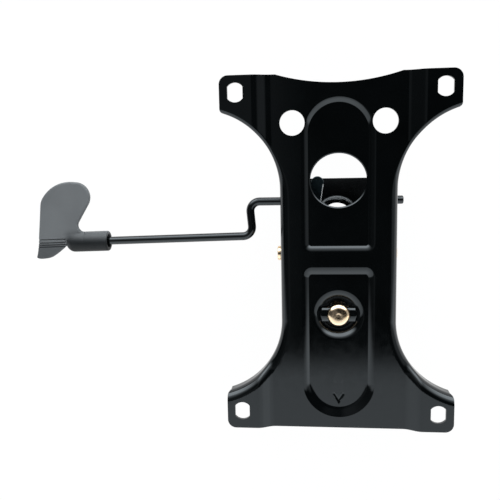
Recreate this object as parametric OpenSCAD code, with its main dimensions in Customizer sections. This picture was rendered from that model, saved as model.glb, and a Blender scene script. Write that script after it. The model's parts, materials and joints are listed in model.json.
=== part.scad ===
// Tilt mechanism for an office chair: a pressed seat plate that rocks on a housing carried by a gas lift,
// with a tension spring and knob under the front and one lever for height and tilt lock.
// The origin is the centre of the socket mouth. +X is the sitter's left, +Y the rear and +Z up.

/* [Seat plate] */
// Distance between the seat bolt slots from side to side
slot_span_x = 160; // [150:1:180]
// Distance between the seat bolt slots from front to rear
slot_span_y = 260; // [250:1:280]
// Width of each seat bolt slot
slot_w = 12; // [9:0.5:13]
// Length of each seat bolt slot
slot_l = 15; // [14:0.5:18]
// Thickness of the pressed sheet
plate_t = 2.5; // [2:0.1:3]
// Margin from the slots to the side edges of the ears
ear_side = 12.5; // [10:0.5:16]
// Margin from the rear slots to the rear edge
ear_rear = 13.2; // [11:0.1:18]
// Margin from the front slots to the front edge
ear_front = 15; // [11:0.5:18]
// Distance from the slots to the inner corner of the ears
ear_inner = 15; // [12:0.5:18]
// Corner radius of the ears
ear_r = 7; // [3:0.5:9]
// Height of the ears above the middle of the plate
ear_rise = 5; // [3:0.5:7]
// Width of the sloping step beside each ear
step_w = 8; // [5:0.5:12]
// Distance from the slots to the sloping step
step_from_slot = 16; // [13:0.5:20]
// Width of the plate at its waist
waist_w = 92; // [90:1:100]
// Radius of the drawn-in sides
waist_r = 63; // [56:1:70]
// Width of the hollow in the rear edge
rear_dip_w = 98; // [70:1:110]
// Depth of the hollow in the rear edge
rear_dip = 7.3; // [3:0.1:10]
// Depth of the turned-down side flanges along the arms
flange_d = 10; // [7:0.5:12]
// Depth of the side flanges around the pivot
lug_d = 30; // [27:0.5:34]
// Length of the deep part of the flange on each side of the pivot
lug_half = 24; // [16:1:28]
// Length of the flange's slope from deep to shallow
lug_slope = 12; // [6:1:14]

/* [Pockets and holes] */
// Width of the two pressed pockets
pocket_w = 57; // [50:1:60]
// Depth of the pockets
pocket_depth = 3; // [2:0.5:5]
// How far the pocket walls slope inwards
pocket_run = 4.7; // [2:0.1:6]
// Front end of the rear pocket, behind the pivot
rear_pocket_from = 3; // [2:0.5:10]
// Round end of the rear pocket, behind the pivot
rear_pocket_to = 126.2; // [110:0.1:128]
// Rear end of the front pocket, ahead of the pivot
front_pocket_from = 9; // [6:0.5:12]
// Round end of the front pocket, ahead of the pivot
front_pocket_to = 135.6; // [125:0.1:138]
// Diameter of the large hole in the rear pocket
sight_hole_d = 44.8; // [30:0.2:48]
// Distance of the large hole behind the pivot
sight_hole_y = 60.4; // [50:0.2:70]
// Diameter of the two lightening holes
light_hole_d = 19.6; // [10:0.2:22]
// Distance between the lightening holes
light_hole_span = 72.2; // [68:0.2:82]
// Distance of the lightening holes behind the pivot
light_hole_y = 105.8; // [98:0.2:112]
// Size of the pressed front mark
mark_size = 8; // [4:0.5:12]
// Height of the pressed front mark
mark_h = 0.5; // [0.3:0.1:1]

/* [Pivot] */
// Diameter of the pivot axle
axle_d = 12; // [8:0.5:14]
// Depth of the axle below the middle of the plate
pivot_drop = 18; // [17:0.5:22]
// Distance of the axle ahead of the gas lift
pivot_ahead = 25.5; // [24:0.5:30]
// How far the seat plate tilts back, in degrees
tilt_range = 15; // [8:1:16]
// Gap between the plate flange and the housing on each side
side_gap = 1.2; // [0.8:0.1:3]
// Wall of the pivot bushes
bush_wall = 2; // [1.2:0.1:3]
// Collar width of the pivot bushes
bush_collar = 3; // [1:0.5:4]
// How far the axle stands out at the lever side
axle_out = 3.8; // [2.5:0.1:8]
// Wall of the spacer tube on the axle
spacer_wall = 2.4; // [1:0.1:2.6]
// Thickness of the retaining rings on the axle
clip_t = 0.8; // [0.6:0.1:1.5]
// Rim width of the retaining rings outside the axle
clip_rim = 1.6; // [1:0.1:3]

/* [Housing] */
// Depth from the middle of the plate to the housing floor
housing_h = 53; // [51:0.5:60]
// Sheet thickness of the housing
housing_t = 3; // [2:0.1:4]
// Inner bend radius of the housing
housing_bend = 4; // [2:0.5:8]
// Length of the housing behind the pivot
housing_rear = 60; // [56:1:66]
// Length of the housing ahead of the pivot
housing_front = 88; // [84:1:96]
// Height of the front wall above the housing floor
front_wall_h = 33; // [30:0.5:38]
// Depth of the shelf turned in from the front wall
shelf_d = 15; // [13.5:0.5:17]
// Diameter of the two rubber stops
stop_d = 12; // [8:0.5:12.5]
// Distance between the two rubber stops
stop_span = 32; // [20:1:44]

/* [Gas lift socket] */
// Length of the socket
socket_h = 50; // [40:0.5:60]
// Diameter of the straight lead-in at the mouth
mouth_d = 28.3; // [27:0.1:30]
// Length of the straight lead-in
mouth_l = 8; // [4:0.5:12]
// Diameter at the top of the taper
taper_top_d = 26.8; // [25:0.1:26.9]
// Wall of the socket at its mouth
socket_wall = 3.4; // [2.5:0.1:4.5]
// How far the socket stands above the housing floor
socket_rise = 3; // [2:0.5:6]
// Diameter of the weld bead around the socket
bead_d = 4; // [2:0.2:5]
// Width of the collar under the housing floor
collar_w = 5; // [3:0.5:8]
// Thickness of the collar under the housing floor
collar_t = 4; // [2:0.5:6]

/* [Lever] */
// Diameter of the lever rod
rod_d = 7; // [5:0.5:8]
// Depth of the rod below the middle of the plate
rod_drop = 30; // [29:0.5:33]
// Distance of the rod behind the gas lift
rod_behind = 16.9; // [16.2:0.1:19]
// Bend radius of the rod at its centre line
rod_bend = 8; // [6:0.5:8]
// Half width of the crank over the gas lift button
crank_half = 18; // [17:0.5:19]
// Reach of the rod tip beyond the centre
rod_tip = 54; // [52:0.5:62]
// Where the rod bends forward outside the plate
rod_out = 65.5; // [60:0.5:90]
// Turn of the rod's outer leg, in degrees
leg_turn = 95; // [85:1:100]
// Straight length of the rod's outer leg
leg_l = 12.2; // [4:0.2:30]
// Forward splay of the rod's long run, in degrees
run_splay = 1.5; // [0:0.5:5]
// Length of the rod's long run
run_l = 152.5; // [100:0.5:180]
// How far the lever lifts, in degrees
lift_range = 6.5; // [4:0.5:7]
// How far the lever pulls out
pull_range = 10; // [6:0.5:10]
// Thickness of the lock tongue
tongue_t = 2.5; // [1.5:0.1:3]
// Width of the lock tongue
tongue_w = 9.5; // [6:0.5:12]
// How far the lock tongue reaches behind the rod
tongue_l = 20.5; // [14:0.5:22]
// Wall of the slot liner in the right wall
liner_wall = 1.8; // [1.2:0.1:2.5]

/* [Handle] */
// Outer diameter of the handle sleeve
sleeve_d = 17.6; // [13:0.2:20]
// Length of the sleeve beyond the blade
sleeve_l = 24; // [14:0.5:40]
// Width of the blade at its root
blade_w = 39.3; // [30:0.1:44]
// Height of the blade behind the rod
blade_h = 53.1; // [46:0.1:70]
// Thickness of the blade
blade_t = 4; // [3:0.2:6]
// How far the blade's outer edge leans in
blade_lean = 4.5; // [0:0.5:8]
// Radius of the blade's outer corner
blade_r = 10.3; // [8:0.1:14]
// Radius of the blade's rear edge
rear_r = 16.4; // [12:0.2:20]
// Radius of the lobe at the blade's inner corner
lobe_r = 13.2; // [10:0.2:16]
// How far the lobe overhangs the blade's root
lobe_over = 11.7; // [2:0.1:14]
// Drop of the turned-down lip
lip_drop = 11; // [6:0.5:16]
// Forward reach of the turned-down lip
lip_reach = 12; // [6:0.5:16]
// Outward flare of the lip
lip_flare = 9; // [0:0.5:12]
// Depth of the rod in the sleeve
rod_grip = 34; // [20:1:40]
// Depth of the wide recess at the sleeve's mouth
mouth_recess = 6; // [2:0.5:10]
// Width of the gap around the rod in that recess
mouth_gap = 2.2; // [0.5:0.1:2.4]

/* [Tension bolt] */
// Distance of the bolt ahead of the pivot
bolt_ahead = 49; // [46:0.5:54]
// Diameter of the bolt
bolt_d = 10; // [8:0.5:11]
// Diameter of the domed head
head_d = 17.7; // [14:0.1:20]
// Height of the domed head
head_h = 4.2; // [3:0.1:4.5]
// Length of the rocker saddle
saddle_l = 30.6; // [29.5:0.1:34]
// Diameter of the rocker saddle
saddle_d = 11.7; // [11.2:0.1:12.8]
// Height of the saddle's flat above its axis
saddle_flat = 1.2; // [0.5:0.1:2]
// Height of the saddle's crown above its flat
saddle_crown = 0.9; // [0.2:0.1:1.5]
// Radius of the saddle's crown
crown_r = 9; // [7:0.5:14]
// Height of the saddle's axis above the pocket floor
saddle_rise = 0.5; // [0:0.1:2]
// Diameter of the rolled-in rim around the saddle
rim_d = 41.4; // [40:0.2:46]
// Depth of the rolled-in rim
rim_drop = 4; // [3:0.1:4.5]
// Depth of the collar below the saddle's axis
rim_collar = 8.5; // [8:0.5:11]
// Width of the window in the rim
window_w = 26; // [23:0.5:28]
// Length of the window in the rim
window_l = 30; // [27:0.5:33]

/* [Spring and knob] */
// Outer diameter of the spring
spring_od = 36; // [32:0.5:38]
// Diameter of the spring wire
wire_d = 5; // [3:0.2:6]
// Turns of the spring
spring_turns = 6; // [4:1:7]
// Length of the fitted spring
spring_l = 57; // [55:0.5:64]
// Clearance around the spring
spring_gap = 2.5; // [1.5:0.1:4]
// Height of the spring cup above the housing floor
cup_h = 29; // [24:0.5:30]
// Wall of the spring cup
cup_t = 2.5; // [1.5:0.1:3]
// Flange width of the spring cup
cup_flange = 5; // [3:0.5:6]
// Diameter of the bolt's hole in the cup
cup_hole_d = 20; // [18.5:0.5:22]
// Thickness of the spring's upper seat
seat_t = 2; // [1:0.1:3]
// Thickness of each washer on the knob
washer_t = 1.5; // [1:0.1:2.5]
// Diameter of the knob
knob_d = 66; // [60:1:74]
// Grip scallops on the knob
knob_lobes = 10; // [6:1:14]
// Radius of the grip scallops
scallop_r = 8; // [5:0.5:9]
// Depth of the grip scallops
scallop_d = 3.2; // [1.5:0.1:4]
// Depth of the spring's well in the knob
well_d = 8; // [6:0.5:9]
// Thickness of the knob's web above the nut
web_t = 3; // [2:0.1:5]
// Width of the nut across its flats
nut_af = 17; // [16:0.5:19]
// Height of the nut
nut_h = 8; // [6:0.5:10]
// Thread pitch of the bolt
thread_pitch = 1.5; // [1:0.25:1.5]
// Turns of the knob from loose to tight
knob_turns = 4; // [2:1:4]
// Thickness of the knob's end cap
cap_t = 2; // [1.5:0.1:3]

/* [Fits] */
// Radial clearance of turning and sliding fits
fit = 0.08; // [0.03:0.01:0.1]
// Gap left where loose pieces rest on each other
rest_gap = 0.3; // [0.1:0.05:0.5]

/* [Hidden] */
$fn = 64;
over = 1;
far = 400;

pivot_y = -pivot_ahead;
bolt_y = pivot_y - bolt_ahead;
floor_z = socket_h - socket_rise;
plate_z = floor_z + housing_h;
pivot_z = plate_z - pivot_drop;
rod_z = plate_z - rod_drop;

plate_w = slot_span_x + 2 * ear_side;
plate_rear = slot_span_y / 2 + ear_rear;
plate_front = slot_span_y / 2 + ear_front;
step_out = slot_span_x / 2 - step_from_slot;
step_in = step_out - step_w;
arc_x = waist_w / 2 + waist_r;
arc_y = slot_span_y / 2 - ear_inner - sqrt(waist_r ^ 2 - (arc_x - plate_w / 2) ^ 2);
dip_r = (rear_dip_w ^ 2 / 4 + rear_dip ^ 2) / (2 * rear_dip);
draw_gain = plate_t * tan(atan2(pocket_depth, pocket_run) / 2);
saddle_z = plate_z - pocket_depth + saddle_rise;

inner_w = waist_w - 2 * (plate_t + side_gap + housing_t);
outer_w = inner_w + 2 * housing_t;
wall_mid = (inner_w + housing_t) / 2;
under_h = pivot_drop - plate_t;
wall_top = pivot_z + under_h - 3;
wall_flat_rear = 9;
wall_flat_front = 14;
rear_clear = 2;
rear_top = pivot_z + under_h / cos(tilt_range) - housing_rear * tan(tilt_range) - rear_clear;
front_top = floor_z + front_wall_h;
stop_y = pivot_y - housing_front + shelf_d / 2 + housing_t / 2;
pocket_under = plate_z - pocket_depth - plate_t;

bush_od = axle_d + 2 * (fit + bush_wall);
axle_left = waist_w / 2 + axle_out;
axle_right = waist_w / 2 + clip_t + 0.9;
groove_d = axle_d - 2;

rod_start = [rod_tip, rod_behind, 180];
crank_leg = rod_behind - 2 * rod_bend;
rod_steps = [
    [rod_tip - crank_half - rod_bend, 90],
    [crank_leg, -90],
    [2 * (crank_half - rod_bend), -90],
    [crank_leg, 90],
    [rod_out - crank_half - rod_bend, leg_turn],
    [leg_l, run_splay - leg_turn],
    [run_l, 0]
];
run_lap = 0.3;
run_relief = 0.02;
ball_r = rod_d / 2 + 2.1;
disc_r = ball_r + 1.3;
disc_t = 1.5;
disc_gap = disc_r * tan(lift_range) + rest_gap;
liner_in = rod_d / 2 + rest_gap;
liner_out = liner_in + liner_wall;
liner_drop = 2 * wall_mid * tan(lift_range) + 0.8;

cup_id = spring_od + 2 * spring_gap;
cup_od = cup_id + 2 * cup_t;
roof_z = floor_z + cup_h - cup_t;
spring_top = roof_z - seat_t - rest_gap;
washer_z = spring_top - spring_l - rest_gap;
ring_z = washer_z - washer_t;
web_z = ring_z - washer_t;
nut_z = web_z - web_t - nut_h;
knob_rim = washer_z + well_d;
knob_travel = thread_pitch * knob_turns;
bolt_past = 1;
cap_z = nut_z - bolt_past - knob_travel - over;
knob_bottom = cap_z - cap_t;
well_id = spring_od + 8;
neck_w = bolt_d;

black_coat = "#17191b";
zinc = "#c3c6c8";
gold = "#c8a25a";
nylon = "#e6e3da";
dark_plastic = "#2a2c2e";
grey_plastic = "#6b6e71";
rubber = "#1f1f1f";
spring_steel = "#3a3d40";

// General shapes

module rounded_rect(w, l, r) {
    square([w - 2 * r, l], center = true);
    square([w, l - 2 * r], center = true);
    for (x = [-1, 1], y = [-1, 1]) translate([x * (w / 2 - r), y * (l / 2 - r)]) circle(r);
}

module slot_shape(w, l) {
    square([w, l - w], center = true);
    for (s = [-1, 1]) translate([0, s * (l - w) / 2]) circle(d = w);
}

module round_bottomed(w, h, r) {
    translate([-w / 2, r]) square([w, h - r]);
    translate([r - w / 2, 0]) square([w - 2 * r, r + over]);
    for (s = [-1, 1]) translate([s * (w / 2 - r), r]) circle(r);
}

// Turns a profile drawn as (y, z) into a slab of width w across X
module across(w) {
    rotate([90, 0, 90]) linear_extrude(w, center = true) children();
}

// Turns a profile drawn as (x, z) into a bar from y0 to y1
module lengthwise(y0, y1) {
    translate([0, y1, 0]) rotate([90, 0, 0]) linear_extrude(y1 - y0) children();
}

module along_x(x0, x1) {
    translate([x0, 0, 0]) rotate([0, 90, 0]) linear_extrude(x1 - x0) children();
}

// Seat plate

module plate_blank() {
    mid = (plate_rear - plate_front) / 2;
    difference() {
        translate([0, mid]) rounded_rect(plate_w, plate_rear + plate_front, ear_r);
        translate([0, plate_rear - rear_dip + dip_r]) circle(dip_r, $fn = 180);
    }
}

module waist_cut(inset) {
    for (s = [-1, 1]) {
        for (e = [-1, 1]) translate([s * arc_x, e * arc_y]) circle(waist_r + inset, $fn = 120);
        translate([s * (waist_w / 2 - inset + waist_r), 0]) square([2 * waist_r, 2 * arc_y], center = true);
    }
}

// The top line of the sheet from side to side, lowered by drop
function sheet_line(drop, dir) = [for (p = [
    [-plate_w, ear_rise], [-step_out, ear_rise], [-step_in, 0],
    [step_in, 0], [step_out, ear_rise], [plate_w, ear_rise]]) [dir * p[0], p[1] - drop]];

module plate_sheet() {
    intersection() {
        lengthwise(-far, far) polygon(concat(sheet_line(0, 1), sheet_line(plate_t, -1)));
        translate([0, 0, -far / 2]) linear_extrude(far) difference() {
            plate_blank();
            waist_cut(0);
        }
    }
}

module plate_flanges() {
    lug_end = lug_half + lug_slope;
    intersection() {
        translate([0, 0, -far / 2]) linear_extrude(far) intersection() {
            plate_blank();
            difference() {
                waist_cut(plate_t);
                waist_cut(0);
            }
        }
        lengthwise(-far, far) polygon(concat(sheet_line(0, 1), [[plate_w, -far], [-plate_w, -far]]));
        across(far) polygon([[-far, far], [-far, -flange_d], [-lug_end, -flange_d], [-lug_half, -lug_d],
            [lug_half, -lug_d], [lug_end, -flange_d], [far, -flange_d], [far, far]]);
    }
}

// A pocket with sloping walls: straight at y0, round at y1, of half width hw at its rim
module pocket(y0, y1, hw) {
    dir = sign(y1 - y0);
    centre = y1 - dir * hw;
    rise = over * pocket_run / pocket_depth;
    foot = hw - pocket_run;
    rim = hw + rise;
    translate([0, centre, -pocket_depth]) cylinder(r1 = foot, r2 = rim, h = pocket_depth + over);
    intersection() {
        lengthwise(min(y0, centre) - rim, max(y0, centre) + rim)
            polygon([[-foot, -pocket_depth], [foot, -pocket_depth], [rim, over], [-rim, over]]);
        across(far) polygon([[y0 + dir * pocket_run, -pocket_depth], [centre, -pocket_depth],
            [centre, over], [y0 - dir * rise, over]]);
    }
}

module both_pockets(grow) {
    pocket(rear_pocket_from - grow, rear_pocket_to + grow, pocket_w / 2 + grow);
    pocket(-front_pocket_from + grow, -front_pocket_to - grow, pocket_w / 2 + grow);
}

// Collar under the pocket that carries the rocker saddle
module saddle_collar() {
    bottom = saddle_rise - pocket_depth - rim_collar;
    translate([0, -bolt_ahead, bottom]) cylinder(d = rim_d, h = -pocket_depth - plate_t / 2 - bottom);
}

// The rim's slope from the pocket floor down to the window
module rim_slope() {
    grow = over * (rim_d - window_l) / rim_drop;
    translate([0, -bolt_ahead, -pocket_depth - rim_drop])
        cylinder(d1 = window_l, d2 = rim_d + grow, h = rim_drop + over);
}

module front_mark() {
    w = mark_size / 2;
    tip = -front_pocket_to + pocket_run + mark_size;
    line = mark_size / 5;
    translate([0, 0, -pocket_depth - over]) linear_extrude(mark_h + over)
        polygon([[0, tip], [w, tip + mark_size], [w - line, tip + mark_size], [0, tip + 2 * line],
            [line - w, tip + mark_size], [-w, tip + mark_size]]);
}

module plate_cuts() {
    translate([0, 0, -far / 2]) linear_extrude(far) {
        for (x = [-1, 1], y = [-1, 1]) {
            translate([x * slot_span_x / 2, y * slot_span_y / 2]) slot_shape(slot_w, slot_l);
        }
        for (s = [-1, 1]) translate([s * light_hole_span / 2, light_hole_y]) circle(d = light_hole_d);
        translate([0, sight_hole_y]) circle(d = sight_hole_d);
        translate([0, -bolt_ahead]) intersection() {
            circle(d = window_l);
            square([window_w, window_l], center = true);
        }
    }
    rim_slope();
    translate([0, -bolt_ahead, saddle_rise - pocket_depth])
        along_x(-saddle_l / 2 - rest_gap, saddle_l / 2 + rest_gap) circle(d = saddle_d + 2 * fit);
    translate([0, 0, -pivot_drop]) along_x(-far, far) circle(d = axle_d + fit);
}

module seat_plate() {
    color(black_coat) translate([0, pivot_y, plate_z]) difference() {
        union() {
            difference() {
                union() {
                    plate_sheet();
                    plate_flanges();
                    translate([0, 0, -plate_t]) both_pockets(draw_gain);
                }
                both_pockets(0);
            }
            saddle_collar();
            front_mark();
        }
        plate_cuts();
    }
}

// Housing

module wall_profile() {
    polygon([[pivot_y - housing_front, -far], [pivot_y + housing_rear, -far],
        [pivot_y + housing_rear, rear_top], [pivot_y + wall_flat_rear, wall_top],
        [pivot_y - wall_flat_front, wall_top], [pivot_y - housing_front, front_top]]);
}

module u_section(h) {
    difference() {
        round_bottomed(outer_w, h, housing_bend + housing_t);
        translate([0, housing_t]) round_bottomed(inner_w, h, housing_bend);
    }
}

module lower_housing() {
    front_y = pivot_y - housing_front;
    under_z = floor_z - housing_t;
    color(black_coat) difference() {
        union() {
            intersection() {
                translate([0, 0, under_z]) lengthwise(front_y, pivot_y + housing_rear) u_section(far);
                across(far) wall_profile();
            }
            translate([0, 0, under_z]) lengthwise(front_y, front_y + housing_t)
                round_bottomed(outer_w, front_wall_h + housing_t, housing_bend + housing_t);
            translate([0, 0, front_top - housing_t]) lengthwise(front_y, front_y + shelf_d)
                translate([-inner_w / 2 - over, 0]) square([inner_w + 2 * over, housing_t]);
        }
        translate([0, 0, under_z - over]) cylinder(d = mouth_d + 2 * (socket_wall + fit), h = far / 4);
        translate([0, bolt_y, under_z - over]) cylinder(d = cup_id, h = housing_t + 2 * over);
        translate([0, pivot_y, pivot_z]) along_x(-far, far) circle(d = bush_od + 2 * fit);
        translate([0, rod_behind, rod_z]) along_x(-far, 0) circle(r = ball_r + fit);
        translate([0, rod_behind, rod_z]) liner_slot(liner_out + fit, 0, far);
    }
}

// Upright slot shape around the rod's path through the right wall
module liner_slot(r, x0, x1) {
    along_x(x0, x1) translate([liner_drop / 2, 0]) rotate(90) slot_shape(2 * r, liner_drop + 2 * r);
}

module lever_slot_liner() {
    lip = 2;
    face = inner_w / 2;
    color(nylon) translate([0, rod_behind, rod_z]) difference() {
        union() {
            liner_slot(liner_out, face - lip, face + housing_t);
            liner_slot(liner_out + lip, face - lip, face);
        }
        liner_slot(liner_in, face - far, face + far);
    }
}

module gas_lift_socket() {
    taper_d = mouth_d - 0.3;
    top_z = socket_h + over;
    outer_d = mouth_d + 2 * socket_wall;
    color(black_coat) difference() {
        union() {
            cylinder(d = outer_d, h = socket_h);
            translate([0, 0, floor_z - housing_t - collar_t])
                cylinder(d1 = outer_d, d2 = outer_d + 2 * collar_w, h = collar_t);
            translate([0, 0, floor_z]) cylinder(d1 = outer_d + bead_d, d2 = outer_d, h = bead_d / 2);
        }
        translate([0, 0, -over]) cylinder(d = mouth_d, h = mouth_l + over);
        translate([0, 0, mouth_l]) cylinder(d1 = taper_d, d2 = taper_top_d, h = socket_h - mouth_l);
        translate([0, 0, socket_h - over]) cylinder(d = taper_top_d, h = 2 * over);
    }
}

module spring_cup() {
    color(black_coat) translate([0, bolt_y, floor_z]) difference() {
        union() {
            cylinder(d = cup_od, h = cup_h);
            cylinder(d = cup_od + 2 * cup_flange, h = cup_t);
        }
        translate([0, 0, -over]) cylinder(d = cup_id, h = cup_h - cup_t + over);
        cylinder(d = cup_hole_d, h = cup_h + over);
    }
}

module spring_upper_seat() {
    color(nylon) translate([0, bolt_y, roof_z - seat_t]) difference() {
        cylinder(d = cup_id - 2 * rest_gap, h = seat_t);
        translate([0, 0, -over]) cylinder(d = cup_hole_d, h = seat_t + 2 * over);
    }
}

// Rubber stop on the housing's front shelf
module rubber_stop(side) {
    h = pocket_under - front_top - rest_gap;
    crown = 2;
    color(rubber) translate([side * stop_span / 2, stop_y, front_top]) {
        cylinder(d = stop_d, h = h - crown);
        translate([0, 0, h - crown]) cylinder(d1 = stop_d, d2 = stop_d - 2 * crown, h = crown);
    }
}

module stop_left() {
    rubber_stop(-1);
}

module stop_right() {
    rubber_stop(1);
}

// Pivot

module pivot_bush(side) {
    color(nylon) translate([0, pivot_y, pivot_z]) rotate([0, 0, side > 0 ? 0 : 180]) difference() {
        union() {
            along_x(inner_w / 2 - over, outer_w / 2 + over / 2) circle(d = bush_od);
            along_x(outer_w / 2, outer_w / 2 + side_gap - fit) circle(d = bush_od + 2 * bush_collar);
        }
        along_x(0, far) circle(d = axle_d + 2 * fit);
    }
}

module pivot_bush_left() {
    pivot_bush(-1);
}

module pivot_bush_right() {
    pivot_bush(1);
}

module axle_spacer() {
    half = inner_w / 2 - over - rest_gap;
    color(zinc) translate([0, pivot_y, pivot_z]) difference() {
        along_x(-half, half) circle(d = axle_d + 2 * (rest_gap + spacer_wall));
        along_x(-far, far) circle(d = axle_d + 2 * rest_gap);
    }
}

module clip_grooves(inner, outer) {
    for (s = [-1, 1]) {
        face = s * (waist_w / 2 + fit);
        along_x(min(face, face + s * clip_t), max(face, face + s * clip_t)) difference() {
            circle(d = outer);
            circle(d = inner);
        }
    }
}

module pivot_axle() {
    nose = 0.5;
    color(gold) translate([0, pivot_y, pivot_z]) difference() {
        union() {
            along_x(nose - axle_left, axle_right - nose) circle(d = axle_d);
            rotate([0, -90, 0]) translate([0, 0, axle_left - nose])
                cylinder(d1 = axle_d, d2 = axle_d - 2 * nose, h = nose);
            rotate([0, 90, 0]) translate([0, 0, axle_right - nose])
                cylinder(d1 = axle_d, d2 = axle_d - 2 * nose, h = nose);
        }
        clip_grooves(groove_d, 2 * axle_d);
    }
}

module axle_clips() {
    color(zinc) translate([0, pivot_y, pivot_z]) clip_grooves(groove_d, axle_d + 2 * clip_rim);
}

// Tension bolt and knob

module rocker_saddle() {
    half = saddle_l / 2;
    color(zinc) translate([0, bolt_y, saddle_z]) difference() {
        intersection() {
            along_x(-half, half) circle(d = saddle_d);
            translate([0, 0, saddle_flat + saddle_crown - crown_r]) along_x(-saddle_l, saddle_l) circle(crown_r);
        }
        cube([neck_w + fit, neck_w + fit, 3 * saddle_d], center = true);
        translate([0, 0, saddle_flat]) cylinder(d = head_d + 2 * rest_gap, h = saddle_d);
    }
}

module tension_bolt() {
    dome_r = (head_d ^ 2 / 4 + head_h ^ 2) / (2 * head_h);
    seat_z = saddle_z + saddle_flat;
    end_z = nut_z - bolt_past;
    neck_h = saddle_flat + saddle_d / 2;
    color(gold) translate([0, bolt_y, 0]) {
        intersection() {
            translate([0, 0, seat_z + head_h - dome_r]) sphere(dome_r);
            translate([0, 0, seat_z]) cylinder(d = head_d, h = head_h + over);
        }
        translate([0, 0, seat_z - neck_h / 2]) cube([neck_w, neck_w, neck_h], center = true);
        translate([0, 0, end_z]) cylinder(d = bolt_d, h = seat_z - end_z);
    }
}

module bolt_washer(z, d) {
    translate([0, bolt_y, z]) difference() {
        cylinder(d = d, h = washer_t);
        translate([0, 0, -over]) cylinder(d = bolt_d + 2 * rest_gap, h = washer_t + 2 * over);
    }
}

module thrust_washer() {
    color(zinc) bolt_washer(ring_z, spring_od + 2 * spring_gap);
}

module friction_ring() {
    color(nylon) bolt_washer(web_z, spring_od);
}

module nut_shape(grow) {
    circle(d = (nut_af + 2 * grow) / cos(30), $fn = 6);
}

module tension_knob() {
    edge = 3;
    lobe_at = knob_d / 2 + scallop_r - scallop_d;
    color(dark_plastic) translate([0, bolt_y, 0]) difference() {
        union() {
            translate([0, 0, knob_bottom + edge]) cylinder(d = knob_d, h = knob_rim - knob_bottom - 2 * edge);
            translate([0, 0, knob_bottom]) cylinder(d1 = knob_d - 2 * edge, d2 = knob_d, h = edge);
            translate([0, 0, knob_rim - edge]) cylinder(d1 = knob_d, d2 = knob_d - 2 * edge, h = edge);
        }
        for (i = [0 : knob_lobes - 1]) rotate(i * 360 / knob_lobes) {
            translate([lobe_at, 0, knob_bottom - over]) cylinder(r = scallop_r, h = far);
        }
        translate([0, 0, web_z]) cylinder(d = well_id, h = far);
        translate([0, 0, knob_bottom - over]) cylinder(d = bolt_d + 2 * rest_gap, h = far);
        translate([0, 0, cap_z]) linear_extrude(nut_z + nut_h - cap_z) nut_shape(fit);
        translate([0, 0, knob_bottom - over]) cylinder(d = nut_af + 10, h = cap_t + over);
    }
}

module knob_nut() {
    color(zinc) translate([0, bolt_y, nut_z]) linear_extrude(nut_h) difference() {
        nut_shape(0);
        circle(d = bolt_d + 2 * fit);
    }
}

module knob_cap() {
    color(dark_plastic) translate([0, bolt_y, knob_bottom]) cylinder(d = nut_af + 10 - 2 * fit, h = cap_t);
}

// Tilt spring: one tube wound as a helix

ring_count = 8;
side_count = 6;
coil_r = (spring_od - wire_d) / 2;
wire_r = wire_d / 2;
last_ring = spring_turns * ring_count;
spring_pitch = (spring_l - wire_d) / spring_turns;

function spring_point(k, s) =
    let (a = k * 360 / ring_count, b = s * 360 / side_count, r = coil_r + wire_r * cos(b))
    [r * cos(a), r * sin(a), wire_r + k * spring_pitch / ring_count + wire_r * sin(b)];

spring_points = [for (k = [0 : last_ring], s = [0 : side_count - 1]) spring_point(k, s)];
spring_sides = [for (k = [0 : last_ring - 1], s = [0 : side_count - 1])
    let (a = k * side_count + s, b = k * side_count + (s + 1) % side_count)
    each [[a, a + side_count, b], [b, a + side_count, b + side_count]]];
spring_ends = [for (s = [1 : side_count - 2])
    each [[0, s, s + 1],
        [last_ring * side_count, last_ring * side_count + s + 1, last_ring * side_count + s]]];

// Least distance between points of the wire that lie at least three quarters of a turn apart
spring_self_gap = min([for (k = [0 : last_ring - ring_count], s = [0 : side_count - 1],
    j = [k + 6 : min(last_ring, k + 10)], t = [0 : side_count - 1])
    norm(spring_point(k, s) - spring_point(j, t))]);
echo(spring_self_gap = spring_self_gap);

module tilt_spring() {
    color(spring_steel) translate([0, bolt_y, spring_top - spring_l])
        polyhedron(spring_points, concat(spring_sides, spring_ends));
}

// Lever

// Where the rod is after n of its steps: x, y and heading
function step_end(p, step) =
    let (h = p[2], turn = step[1], side = sign(turn) * rod_bend)
    [p[0] + step[0] * cos(h) - side * sin(h) + side * sin(h + turn),
        p[1] + step[0] * sin(h) + side * cos(h) - side * cos(h + turn), h + turn];
function rod_pose(n) = n == 0 ? rod_start : step_end(rod_pose(n - 1), rod_steps[n - 1]);

// The straight runs are a hair thinner than the bends and reach a little way into them
module rod_step(length, turn) {
    along_x(-run_lap, length + run_lap) circle(d = rod_d - run_relief);
    side = sign(turn);
    if (turn != 0) translate([length, side * rod_bend, 0]) rotate(side > 0 ? -90 : 90 + turn)
        rotate_extrude(angle = abs(turn)) translate([rod_bend, 0]) circle(d = rod_d);
}

module lever_rod() {
    color(black_coat) translate([0, 0, rod_z]) for (n = [0 : len(rod_steps) - 1]) {
        p = rod_pose(n);
        translate([p[0], p[1], 0]) rotate(p[2]) rod_step(rod_steps[n][0], rod_steps[n][1]);
    }
}

module lever_ball_bush() {
    reach = housing_t / 2 + disc_gap;
    color(nylon) translate([-wall_mid, rod_behind, rod_z]) difference() {
        union() {
            intersection() {
                sphere(ball_r);
                along_x(-reach, reach) circle(r = ball_r);
            }
            along_x(-reach - disc_t, reach + disc_t) circle(r = rod_d / 2 + fit + 1);
            for (s = [-1, 1]) translate([s * (reach + disc_t / 2), 0, 0])
                along_x(-disc_t / 2, disc_t / 2) circle(r = disc_r);
        }
        along_x(-far, far) circle(d = rod_d + 2 * fit);
    }
}

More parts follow.
